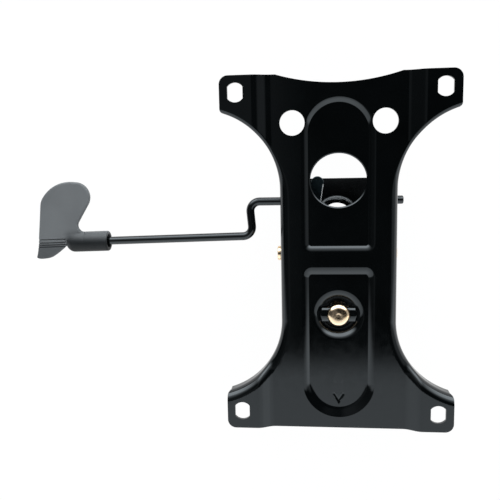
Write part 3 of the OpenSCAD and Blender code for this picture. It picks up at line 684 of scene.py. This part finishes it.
def ear_side(end):
    """The right edge of the blank from the end of the rear (+1) or front (-1) ear to the waist."""
    top = EAR_REAR if end > 0 else EAR_FRONT
    fx = EAR_X - EAR_FILLET
    fy = ARC_Y + math.sqrt((WAIST_R + EAR_FILLET) ** 2 - (ARC_X - fx) ** 2)
    turn = math.degrees(math.atan2(ARC_Y - fy, ARC_X - fx))
    pts = list(arc(EAR_X - EAR_R, top - EAR_R, EAR_R, 90, 0, 1.0))
    pts += [(EAR_X, y) for y in np.arange(top - EAR_R - EDGE_STEP, fy + 1, -EDGE_STEP)]
    pts += flattened(arc(fx, fy, EAR_FILLET, 0, turn, 0.5), end)
    from_a = math.degrees(math.atan2(fy - ARC_Y, fx - ARC_X))
    bottom = []
    for a in np.arange(from_a, 180.01, (180 - from_a) / 44):
        c, s = math.cos(math.radians(a)), math.sin(math.radians(a))
        x, y = ARC_X + WAIST_R * c, ARC_Y + WAIST_R * s
        rise = float(plate_height(np.array(x), np.array(y)))
        bend = float(bend_at(x, end * y))
        r = WAIST_R + (2 - math.pi / 2) * bend - (FLANGE + rise)
        bottom.append((ARC_X + r * c, ARC_Y + r * s))
    start, stop = np.array(pts[-1]), np.array(bottom[0])
    pts += [tuple(start + (stop - start) * t) for t in np.linspace(0, 1, 6)[1:-1]]
    pts += bottom
    return [(x, end * y) for x, y in pts]


def plate_outline():
    """The blank's edge, once round from the middle of its rear edge."""
    dip_r = (DIP_HALF**2 + DIP**2) / (2 * DIP)
    lean = math.degrees(math.asin(DIP_HALF / dip_r))
    rear = [tuple(p) for p in arc(0, EAR_REAR - DIP + dip_r, dip_r, 270, 270 + lean, EDGE_STEP)]
    rear += [(x, EAR_REAR) for x in np.arange(DIP_HALF + EDGE_STEP, EAR_X - EAR_R - 1, EDGE_STEP)]
    lug = [(WAIST / 2 - 2 * BEND + ROLL + flange_depth(y), y) for y in range(51, -52, -3)]
    front = list(reversed(ear_side(-1)))
    edge = [(x, -EAR_FRONT) for x in np.arange(EAR_X - EAR_R - EDGE_STEP, 0.5, -EDGE_STEP)]
    right = rear + ear_side(1) + lug + front + edge
    left = [(-x, y) for x, y in reversed(right) if x > 1e-6]
    return right + [(0.0, -EAR_FRONT)] + left


def d_hole(cx, cy):
    """A round hole with two flats."""
    a = math.degrees(math.acos(SLOT_HALF / SLOT_R))
    return np.concatenate([arc(cx, cy, SLOT_R, a, 180 - a, 0.7), arc(cx, cy, SLOT_R, 180 + a, 360 - a, 0.7)])


def circle(cx, cy, r, step):
    return arc(cx, cy, r, 0, 360, step)[:-1]


def hole_ring(outside):
    """The large hole's edge, or a line at a distance outside it."""
    y, rx, ry = HOLE
    return circle(0, 0, 1, 0.05) * (rx + outside, ry + outside) + (0, y)


def edge_reach(x, y):
    """Distance from the waist's edge, measured in the flat blank."""
    ax, ay = np.abs(x), np.abs(y)
    return np.where(ay <= ARC_Y, WAIST / 2 - ax, np.hypot(ARC_X - ax, ay - ARC_Y) - WAIST_R)


def sheet_piece():
    axle_at = WAIST / 2 - 2 * BEND + ROLL + PIVOT_DROP
    slot_x, slot_y = SLOT_AT
    light_x, light_y, light_r = LIGHT_HOLE
    loops = [plate_outline()]
    loops += [d_hole(sx * slot_x, sy * slot_y) for sx in (-1, 1) for sy in (-1, 1)]
    loops += [circle(sx * light_x, light_y, light_r, 1.0) for sx in (-1, 1)]
    loops += [hole_ring(0), circle(0, RING_Y, WINDOW_R, 0.7)]
    loops += [circle(sx * axle_at, 0, AXLE_HOLE_R, 0.9) for sx in (-1, 1)]

    # Rows of corners follow the rims, so that their bends stay even
    rows = [pocket_ring(*pocket, d) for pocket in POCKETS for d in POCKET_ROWS]
    rows += [circle(0, RING_Y, r, 1.1) for r in RING_ROWS]
    rows += [hole_ring(e) for e in HOLE_ROWS]
    fine = lattice(*FIELD, FINE_STEP)
    coarse = lattice(*FIELD, COARSE_STEP)

    def bent(points, margin):
        """Points on the ears' slopes or on the flange's bend."""
        x, y = points[:, 0], points[:, 1]
        near = np.abs(np.abs(x) - STEP_IN - STEP_W / 2) < STEP_W / 2 + 3 + margin
        s = edge_reach(x, y)
        return near | ((s < BEND + 0.6 + margin) & (s > BEND - ROLL - 0.6 - margin))

    mark = lattice(-6, 6, -124.5, -102.5, 0.42)
    mark = mark[front_mark(mark[:, 0], mark[:, 1]) > 0]
    points = np.concatenate([fine[bent(fine, 0)], coarse[~bent(coarse, 0.9)], mark])
    points = points[edge_distance(points, loops) > 0.45]
    points = points[edge_distance(points, rows) > 0.7]

    flat, faces = fill(loops, points, rows)

    def rolled(at):
        return plate_point(at, pressed=False)

    def underside(at):
        return plate_point(at) - SHEET * surface_normals(rolled, at)

    def under_normals(at):
        return -surface_normals(plate_point, at)

    verts, polys, normals = skinned(flat, faces, plate_point, underside, under_normals)
    obj = make("seat_plate_sheet", verts + (0, PIVOT_Y, PLATE_Z), polys, "seat", coat, normals)
    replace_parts(obj, "seat_plate")


def collar_piece():
    """The collar under the rolled-in rim, which the saddle rests in."""
    profile = [(20.5, 95.6), (20.5, 88.9), (20.1, 88.5), (10.4, 88.5), (10.0, 88.9), (10.0, 89.4),
               (10.35, 89.75), (12.3, 89.8), (12.5, 90.0), (12.5, 91.0), (12.85, 91.35), (15.2, 91.4),
               (16.5, 92.8), (18.5, 94.4), (20.5, 95.6)]
    verts, faces = revolve(profile, 96)
    make("seat_plate_collar", verts + (0, PIVOT_Y + RING_Y, 0), faces, "seat", satin, sharp=40)


# Saddle, bolt and spring


def saddle_piece():
    """A bar that is round below and flat on its rear half, with a spot for the bolt's head."""
    bar_r, axis, top, flat, spot, end_r = 5.85, 97.5, 99.1, 98.7, 9.4, 14.6
    around = np.radians(np.linspace(-90, 90, 41))
    y = bar_r * np.sin(around)
    low = axis - bar_r * np.cos(around)
    high = top - 0.075 * np.minimum(y + 0.6, 0) ** 2 - 0.75 * np.maximum(y - bar_r + 1.5, 0)
    high = np.maximum(high, low + 0.02)
    tips = end_r * np.cos(np.radians([23, 19, 15, 11, 7, 3]))
    xs = np.unique(np.concatenate([np.arange(0, 13.4, 0.5), [8.2, 8.7, 9.1, 9.3, 9.45, 9.7], tips]))
    rings = []
    for x in [*-xs[:0:-1], *xs]:
        wide = min(1, math.sqrt(end_r**2 - x**2) / bar_r)
        z = np.where(np.hypot(x, y) < spot, np.minimum(high, flat), high)
        ring_y = np.concatenate([y, y[-2:0:-1]]) * wide
        ring_z = np.concatenate([low, z[-2:0:-1]])
        rings.append(np.stack([np.full_like(ring_y, x), ring_y, ring_z], 1))
    verts, faces = loft(rings)
    obj = make("saddle_bar", verts + (0, BOLT_Y, 0), faces, "bolt", coat, sharp=38)
    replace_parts(obj, "rocker_saddle")


HEAD_POWER = 6.0


def bolt_piece():
    """A broad head with a fine turned ring, a square neck and a threaded shank."""
    seat, head_r, head_h, neck, shank = 98.7, 9.15, 3.3, 5.0, 4.95

    def cap(r):
        return seat + 0.4 + (head_h - 0.4) * (1 - (r / head_r) ** HEAD_POWER) - 0.05 * (r / head_r) ** 2

    profile = [(0, seat), (8.85, seat), (9.1, seat + 0.12), (head_r, seat + 0.32)]
    shares = (0.985, 0.96, 0.93, 0.9, 0.86, 0.82, 0.78, 0.73, 0.68, 0.62, 0.55, 0.47, 0.38, 0.31)
    profile += [(head_r * k, cap(head_r * k)) for k in shares]
    profile += [(2.2, cap(2.2)), (2.05, cap(2.05) - 0.02), (1.0, cap(1.0) - 0.03), (0, cap(0) - 0.03)]
    head = revolve(profile, 72)
    square = np.array([(-neck, -neck), (neck, -neck), (neck, neck), (-neck, neck)]) * 0.985
    steps = ((0.9, 90.6), (1, 91.4), (1, seat + 0.1))
    necked = loft([np.column_stack([square * k, np.full(4, z)]) for k, z in steps])

    bottom, top, thread_end, pitch, depth, sides = -1.1, 91.0, 44.0, 1.5, 0.75, 28
    heights = [*np.arange(bottom + 0.6, thread_end, pitch / 7), *np.linspace(thread_end + 0.3, top, 6)]
    turn = 2 * math.pi * np.arange(sides) / sides
    end_r = shank - 0.9
    rings = [np.column_stack([end_r * np.cos(turn), end_r * np.sin(turn), np.full(sides, bottom)])]
    for z in heights:
        wave = np.abs(((z / pitch - turn / (2 * math.pi)) % 1) * 2 - 1)
        fade = np.clip((thread_end - z) / 3, 0, 1)
        r = shank - depth * fade * np.clip(1.25 - 1.5 * wave, 0, 1)
        rings.append(np.column_stack([r * np.cos(turn), r * np.sin(turn), np.full(sides, z)]))
    verts, faces = joined(head, necked, loft(rings))
    obj = make("cup_head_bolt", verts + (0, BOLT_Y, 0), faces, "bolt", gold, sharp=40)
    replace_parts(obj, "tension_bolt")


def spring_piece():
    """A wound spring in two pieces: its upper part rides the housing and its lower part the bolt."""
    coil_r, wire_r, turns, low, high, split = 15.5, 2.5, 6.0, 14.2, 71.2, 50.0
    tilt_lift, knob_lift = 12.14, 6.0
    u = np.linspace(0, 1, int(turns * 44))
    angle = 2 * math.pi * turns * u
    z = low + 1.6 + (high - low - 3.2) * (u - 0.06 * np.sin(2 * math.pi * u))
    path = np.stack([coil_r * np.cos(angle), coil_r * np.sin(angle), z], 1)
    middle = int(np.searchsorted(z, split))
    parts = [("coil_spring", path[middle:], "housing", "tilt", split, high, tilt_lift),
             ("coil_spring_lower", path[:middle + 1], "bolt", "tension_travel", low, split, knob_lift)]
    for name, part, body, joint, bottom, top, lift in parts:
        verts, faces = sweep(part, wire_r, 16)
        verts[:, 2] = np.clip(verts[:, 2], low, high)
        obj = make(name, verts + (0, BOLT_Y, 0), faces, body, oiled, sharp=50)
        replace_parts(obj, "tilt_spring")
        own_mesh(obj)


# Lever: bent rod, lock tongue and handle

ROD_R = 3.5
ROD_BEND = 8.0
ROD_START = (54.0, 16.9, 180.0)
ROD_STEPS = [(28, 90), (0.9, -90), (20, -90), (0.9, 90), (39.5, 95), (12.2, -93.5), (152.5, 0)]
GRIP = 34.0


def rod_path():
    """Centre line of the rod as points, and its last point and heading."""
    x, y, heading = ROD_START
    points = [(x, y)]
    for length, turn in ROD_STEPS:
        c, s = math.cos(math.radians(heading)), math.sin(math.radians(heading))
        count = max(1, int(length / 9))
        points += [(x + c * length * k / count, y + s * length * k / count) for k in range(1, count + 1)]
        x, y = x + c * length, y + s * length
        if turn:
            side = math.copysign(1, turn)
            cx, cy = x - s * ROD_BEND * side, y + c * ROD_BEND * side
            from_a = heading - 90 * side
            bend = arc(cx, cy, ROD_BEND, from_a, from_a + turn, 1.1)[1:]
            points += [tuple(p) for p in bend]
            x, y = bend[-1]
            heading += turn
    return points, (x, y, heading)


def rod_piece():
    points, end = rod_path()
    points = np.array(points)
    radii = np.concatenate([[ROD_R - 0.9, ROD_R - 0.3], np.full(len(points), ROD_R), [ROD_R - 0.6]])
    first, last = unit(points[1] - points[0]), unit(points[-1] - points[-2])
    points = np.concatenate([[points[0]], [points[0] + 0.35 * first], [points[0] + 0.9 * first], points[1:-1],
                             [points[-1] - 0.8 * last], [points[-1]]])
    path = np.column_stack([points, np.full(len(points), ROD_Z)])
    verts, faces = sweep(path, radii, 28)
    obj = make("bent_rod", verts, faces, "lever", rod_coat, sharp=45)
    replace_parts(obj, "lever_rod")
    return end


def tongue_piece():
    """A flat tongue that widens to a round end."""
    low, high, edge = 73.5, 76.0, 0.9
    left_x = -21.9
    right = curve_through([(-14.3, 10.2), (-13.9, 14), (-12.6, 24), (-11.5, 31)], 0.8)
    end = arc(-16.65, 32.3, 5.25, -14, 188, 0.7)
    left = [(left_x, y) for y in np.arange(30.6, 10, -1.0)]
    outline = [tuple(p) for p in np.concatenate([right, end, left])]
    points = lattice(-23, -11, 10, 38, 0.55)
    points = points[edge_distance(points, [outline]) > 0.2]

    def face(z, way):
        def point(flat):
            e = np.where(inside(flat, [outline]), edge_distance(flat, [outline]), 0)
            return np.column_stack([flat, z - way * rounding(e, edge) * 0.8])
        return point

    flat, faces = fill([outline], points)
    up, down = face(high, 1), face(low, -1)
    verts, polys, normals = skinned(flat, faces, up, down, lambda at: -surface_normals(down, at))
    obj = make("flat_tongue", verts, polys, "lever", blued, normals)
    # The right sheared edge is left bare, in a light grey that also stands as a painted highlight where the
    # light catches it
    obj.data.materials.append(bare_edge_painted_highlight)
    for f in obj.data.polygons:
        c = np.array(f.center) / MM
        if c[1] < 31 and np.interp(c[1], [10, 31], [-14.3, -11.5]) - c[0] < 0.85:
            f.material_index = 1
    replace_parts(obj, "lock_tongue")


def touching(a, b):
    """Points where a line touches two circles (x, y, r), on the right of the way from a to b."""
    way = (b[0] - a[0], b[1] - a[1])
    turn = math.atan2(way[1], way[0]) - math.acos((a[2] - b[2]) / math.hypot(*way))
    out = (math.cos(turn), math.sin(turn))
    return [(c[0] + c[2] * out[0], c[1] + c[2] * out[1]) for c in (a, b)]


SLEEVE_R = 8.8
BLADE_TOP = 4.8
BLADE_T = 4.0
HANDLE_EDGE = 1.6
GROOVES = (-3.1, -0.4, 1.5, 3.4)
LOBE, REAR, CORNER = (26.1, -39.6, 12.8), (31.3, -23.2, 29.7), (44.6, -31.7, 14.0)
TIP = (63.3, 0.0)


def handle_rim():
    """The blade's free edge from its neck round to the end of the lip."""
    neck = arc(20.6, -14.5, 5.6, 86, -33, 0.7)
    stops = [(*neck[-1], 0.01), LOBE, REAR, CORNER, (*TIP, 0.01)]
    line = [tuple(p) for p in neck]
    for a, b, c in zip(stops, stops[1:], stops[2:]):
        start, end = touching(a, b)[1], touching(b, c)[0]
        before = np.array(line[-1])
        gap = np.array(start) - before
        count = max(2, int(np.linalg.norm(gap) / 1.3))
        line += [tuple(before + gap * t) for t in np.linspace(0, 1, count)[1:-1]]
        a0 = math.degrees(math.atan2(start[1] - b[1], start[0] - b[0]))
        a1 = math.degrees(math.atan2(end[1] - b[1], end[0] - b[0]))
        line += [tuple(p) for p in arc(b[0], b[1], b[2], a0, a0 + (a1 - a0) % 360, 0.9)]
    before, gap = np.array(line[-1]), np.array(TIP) - np.array(line[-1])
    line += [tuple(before + gap * t) for t in np.linspace(0, 1, 26)[1:-1]]
    lip = [TIP, (65.1, 3.6), (67.4, 7.4), (70.7, 12.2), (72.2, 14.4), (70.6, 15.9), (66.5, 16.1),
           (60.0, 15.2), (54.2, 12.8), (46.8, 8.4), (39.8, 3.6), (36.6, -0.4), (35.6, -2.6)]
    return line + [tuple(p) for p in curve_through(lip, 0.9)]


def handle_piece(end):
    """A blade that grows out of the sleeve, with a turned-down grooved lip."""
    rim = handle_rim()
    ridge = [(x, 0.0) for x in np.arange(33.5, 20.1, -1.5)]
    outline = rim + [(35.2, -1.2)] + ridge + [(20.0, y) for y in np.arange(0, -8.3, -1.2)]

    def ridge_height(x):
        return SLEEVE_R + (BLADE_TOP - SLEEVE_R) * eased(x, 21.0, 42.0)

    def sleeve(x, y):
        return ridge_height(x) * np.sqrt(np.maximum(1 - (y / SLEEVE_R) ** 2, 0))

    def height(flat):
        x, y = flat[:, 0], flat[:, 1]
        up = sleeve(x, y)
        apart = np.abs(up - BLADE_TOP)
        h = np.maximum(up, BLADE_TOP) + np.where(x < 40, np.maximum(2.0 - apart, 0) ** 2 / 8.0, 0)
        h = np.maximum(h, up + 0.03)
        t = np.maximum(y + 1.5, 0) * np.clip((x - 34) / 3, 0, 1)
        h = h - (np.minimum(t, 5.0) ** 2 / 10.0 + np.maximum(t - 5.0, 0))
        for at in GROOVES:
            line = np.clip(1 - np.abs(y - at) / 0.7, 0, 1) * np.clip((x - 37.2) / 0.8, 0, 1)
            h = h - 1.5 * line
        return h

    def distance(flat):
        return np.where(inside(flat, [outline]), edge_distance(flat, [rim], closed=False), 0)

    def upper(flat):
        return np.column_stack([flat, height(flat) - rounding(distance(flat), HANDLE_EDGE)])

    def lower(flat):
        thick = BLADE_T - 1.6 * np.clip((flat[:, 1] - 2) / 10, 0, 1)
        base = np.minimum(height(flat), BLADE_TOP) - thick
        return np.column_stack([flat, base + rounding(distance(flat), 0.9)])

    p = np.array(rim)
    side = unit(np.gradient(p, axis=0))
    inward = np.stack([-side[:, 1], side[:, 0]], 1)
    rows = np.concatenate([p + inward * e for e in (0.12, 0.4, 0.8, 1.25, 1.7)])
    across = (-0.8, -0.5, -0.25, 0, 0.25, 0.5, 0.8)
    grooved = np.array([(x, at + o) for at in GROOVES for x in np.arange(37, 72, 0.9) for o in across])
    field = lattice(14, 73, -54, 17, 1.5)
    neck = lattice(20, 41, -10, 0.1, 0.8)
    points = np.concatenate([rows, grooved, field[edge_distance(field, [rim], closed=False) > 2.2], neck])
    points = points[inside(points, [outline])]
    points = points[edge_distance(points, [outline]) > 0.1]
    flat, faces = fill([outline], points)
    verts, polys, normals = skinned(flat, faces, upper, lower, lambda at: -surface_normals(lower, at))
    x, y, heading = end
    c, s = math.cos(math.radians(heading)), math.sin(math.radians(heading))
    spin = np.array([(c, -s, 0), (s, c, 0), (0, 0, 1)])
    place = np.array([x - GRIP * c, y - GRIP * s, ROD_Z])
    blade = make("handle_blade", verts @ spin.T + place, polys, "lever", handle_plastic_painted_shade,
                 [spin @ n for n in normals])
    # Where the blade lies on the sleeve it takes the sleeve's material, with the same painted shade
    blade.data.materials.append(sleeve_plastic_painted_shade)
    for f in blade.data.polygons:
        at = (np.array(f.center) / MM - place) @ spin
        if at[0] < 41.0 and -12.0 < at[1] < -1.0 or at[0] < 34.0 and at[1] > -12.0:
            f.material_index = 1
    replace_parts(blade, "lever_handle")

    # Rings as (place along the sleeve, reach to the front, height of the top, depth of the underside)
    mouth = [(30.0, 3.55), (6.0, 3.55), (6.0, 5.7), (0.9, 5.7), (0.35, 5.95), (0.05, 6.5), (0.05, 7.6),
             (0.3, 8.3), (0.8, 8.65)]
    rings = [(t, r, r, r) for t, r in mouth]
    for t in [1.6, *np.arange(4, 32, 2.0)]:
        rings.append((t, SLEEVE_R, float(ridge_height(t)), SLEEVE_R))
    for a in np.radians(np.linspace(8, 84, 9)):
        t = 31.0 + 8.4 * math.sin(a)
        k = math.cos(a)
        rings.append((t, SLEEVE_R * k, float(ridge_height(t)) * k, SLEEVE_R * k))
    around = np.radians(np.linspace(0, 360, 65)[:-1])
    skin = []
    for t, wide, high, deep in rings:
        up = np.where(np.sin(around) > 0, high, deep) * np.sin(around)
        skin.append(np.column_stack([np.full(64, t), wide * np.cos(around), up]))
    verts, faces = loft(skin)
    make("handle_sleeve", verts @ spin.T + place, faces, "lever", sleeve_plastic_painted_shade, sharp=40)


def weld_piece():
    """The welder's bead around the top of the gas lift socket, laid in small steps."""
    sides, count, drops = 14, 360, 17
    turn = 2 * math.pi * np.arange(sides) / sides
    rings = []
    for k in range(count):
        a = 2 * math.pi * k / count
        step = (a * drops / (2 * math.pi)) % 1
        r = 0.8 + 1.0 * math.sin(math.pi * step) ** 0.6 + 0.15 * math.sin(5 * a + 1.0)
        centre = 16.3 + 0.45 * math.sin(7 * a)
        ring = [((centre + r * math.cos(t)) * math.cos(a), (centre + r * math.cos(t)) * math.sin(a),
                 SOCKET_TOP - 0.6 + r * math.sin(t)) for t in turn]
        rings.append(ring)
    verts = np.array(rings).reshape(-1, 3)
    faces = []
    for i in range(count):
        j = (i + 1) % count
        for k in range(sides):
            n = (k + 1) % sides
            faces.append((i * sides + k, i * sides + n, j * sides + n, j * sides + k))
    make("socket_weld", verts, faces, "housing", coat, sharp=60)


sheet_piece()
collar_piece()
saddle_piece()
bolt_piece()
spring_piece()
rod_end = rod_piece()
tongue_piece()
handle_piece(rod_end)
weld_piece()

# The other pieces are the CAD's own solids with their edges broken by a width, some duller or drawn in
dull = {"spring_cup": matte, "lower_housing": satin, "gas_lift_socket": satin}
drawn_in = {"friction_ring": 0.04}
broken = {"lower_housing": 0.6, "gas_lift_socket": 0.5, "spring_cup": 0.7, "spring_upper_seat": 0.3,
          "pivot_bush_left": 0.3, "pivot_bush_right": 0.3, "axle_spacer": 0.3, "stop_left": 0.7,
          "stop_right": 0.7, "lever_slot_liner": 0.4, "pivot_axle": 0.3, "axle_clips": 0.2,
          "thrust_washer": 0.25, "friction_ring": 0.25, "tension_knob": 0.9, "knob_nut": 0.4,
          "knob_cap": 0.5, "lever_ball_bush": 0.35}
for node, width in broken.items():
    softened(node, width, dull.get(node, finish_of[slot_of[node]]), drawn_in.get(node, 0.0))


# Floor, light and camera


def seen_directly(tree):
    """1 for a ray that the camera sends out, also by way of a mirror or through glass."""
    path = add_node(tree, "LightPath")
    seen = calc(tree, "MAXIMUM", path.outputs["Is Camera Ray"], path.outputs["Is Glossy Ray"])
    return calc(tree, "MAXIMUM", seen, path.outputs["Is Transmission Ray"])


def glowing_floor():
    """A pale floor that shows white to the camera and keeps a soft shadow."""
    mesh = bpy.data.meshes.new("floor")
    size = 6.0
    low = cad_box[0][2] - 0.0005
    corners = [(-size, -size, low), (size, -size, low), (size, size, low), (-size, size, low)]
    mesh.from_pydata(corners, [], [(0, 1, 2, 3)])
    obj = bpy.data.objects.new("floor", mesh)
    bpy.context.scene.collection.objects.link(obj)
    mat = bpy.data.materials.new("pale_floor")
    mat.use_nodes = True
    tree = mat.node_tree
    tree.nodes.clear()
    out = add_node(tree, "OutputMaterial")
    mix = add_node(tree, "MixShader")
    matt = add_node(tree, "BsdfDiffuse")
    matt.inputs["Color"].default_value = (0.92, 0.92, 0.92, 1)
    glow = add_node(tree, "Emission", Color=(1, 1, 1, 1), Strength=1.0)
    tree.links.new(calc(tree, "MULTIPLY", seen_directly(tree), 0.95), mix.inputs["Fac"])
    tree.links.new(matt.outputs[0], mix.inputs[1])
    tree.links.new(glow.outputs[0], mix.inputs[2])
    tree.links.new(mix.outputs[0], out.inputs["Surface"])
    mesh.materials.append(mat)


def lamp(name, place, target, size, power):
    data = bpy.data.lights.new(name, "AREA")
    data.shape = "RECTANGLE"
    data.size, data.size_y = size
    data.energy = power
    obj = bpy.data.objects.new(name, data)
    bpy.context.scene.collection.objects.link(obj)
    obj.location = place
    obj.rotation_euler = (Vector(target) - Vector(place)).to_track_quat("-Z", "Y").to_euler()
    return obj


FRONT_LEAN = math.radians(18)


def studio():
    """A room with a white front half, a dark ceiling behind it and a low bright strip at the rear."""
    world = bpy.data.worlds.new("studio")
    bpy.context.scene.world = world
    world.use_nodes = True
    tree = world.node_tree
    tree.nodes.clear()
    out = add_node(tree, "OutputWorld")
    back = add_node(tree, "Background")
    coords = add_node(tree, "TexCoord")
    split = add_node(tree, "SeparateXYZ")
    tree.links.new(coords.outputs["Generated"], split.inputs[0])
    x, y, z = (split.outputs[k] for k in "XYZ")

    def add(a, b):
        return calc(tree, "ADD", a, b)

    def minus(a, b):
        return calc(tree, "SUBTRACT", a, b)

    def times(a, b):
        return calc(tree, "MULTIPLY", a, b)

    # The front half begins at a leaning edge, and is dimmer overhead and at its sides
    lean = add(times(y, -math.cos(FRONT_LEAN)), times(z, -math.sin(FRONT_LEAN)))
    start, width = spread(tree, z, 0.082, -0.014, 0.0, 1.0), spread(tree, z, 0.216, 0.034, 0.0, 1.0)
    front = spread(tree, calc(tree, "DIVIDE", minus(lean, start), width), 0, 1, 0.0, 1.0, True)
    front = times(front, spread(tree, z, 1.8, 1.1, 0.5, 0.92))
    front = times(front, spread(tree, calc(tree, "ABSOLUTE", x, 0), 1, 0.75, 0.35, 0.75))

    # The rear is brighter the lower it is
    level = calc(tree, "POWER", calc(tree, "MAXIMUM", minus(1.0, times(z, z)), 0.0004), 0.5)
    behind = spread(tree, calc(tree, "DIVIDE", y, level), 0, 1, 0.35, 0.85, True)
    glow = calc(tree, "MINIMUM", calc(tree, "EXPONENT", minus(5.1, times(z, 6.45)), 0), 5.0)
    rear = times(times(behind, glow), spread(tree, z, 1, 0, 0.88, 0.985, True))

    # Weak light from the sides, and a pale line all round at the floor
    left = times(spread(tree, x, 0.12, 0.008, -0.10, 0.0, True), spread(tree, x, 0.4, 1, -0.5, -0.25, True))
    left = times(left, spread(tree, y, 0, 1, -0.4, -0.2, True))
    left = times(left, spread(tree, z, 0.3, 1, 0.3, 0.7, True))
    right = spread(tree, x, 0, 0.4, 0.6, 0.85)
    horizon = spread(tree, z, 0.8, 0, 0.02, 0.07, True)
    light = add(add(front, rear), add(add(left, right), horizon))
    tree.links.new(light, back.inputs["Strength"])
    back.inputs["Color"].default_value = (0.93, 0.98, 1.0, 1)
    white = add_node(tree, "Background", Color=(1, 1, 1, 1), Strength=1.0)
    path = add_node(tree, "LightPath")
    mix = add_node(tree, "MixShader")
    seen = calc(tree, "MAXIMUM", path.outputs["Is Camera Ray"], path.outputs["Is Transmission Ray"])
    tree.links.new(seen, mix.inputs["Fac"])
    tree.links.new(back.outputs[0], mix.inputs[1])
    tree.links.new(white.outputs[0], mix.inputs[2])
    tree.links.new(mix.outputs[0], out.inputs["Surface"])
    fill_light = lamp("ceiling_fill", (0.0, 0.1, 1.6), (0, 0, 0), (2.0, 2.0), 8)
    fill_light.visible_glossy = False


FOCAL_PIXELS, PHOTO_PIXELS, SENSOR = 640.65, 500, 36


def photo_camera():
    """The photo's camera, solved from the plate's four slots."""
    data = bpy.data.cameras.new("photo_camera")
    data.sensor_width = SENSOR
    data.lens = FOCAL_PIXELS / PHOTO_PIXELS * SENSOR
    data.clip_start = 0.01
    obj = bpy.data.objects.new("photo_camera", data)
    bpy.context.scene.collection.objects.link(obj)
    right = (0.99417703, -0.02160023, -0.10557206)
    up = (0.00525853, 0.98826166, -0.15268018)
    toward = (0.10763075, 0.15123597, 0.98262063)
    place = (-0.01531, 0.08412 + PIVOT_Y * MM, 0.51122 + PLATE_Z * MM)
    turn = Matrix((right, up, toward)).transposed().to_4x4()
    obj.matrix_world = Matrix.Translation(place) @ turn
    bpy.context.scene.camera = obj


glowing_floor()
studio()
photo_camera()

scene = bpy.context.scene
scene.view_settings.view_transform = "Standard"
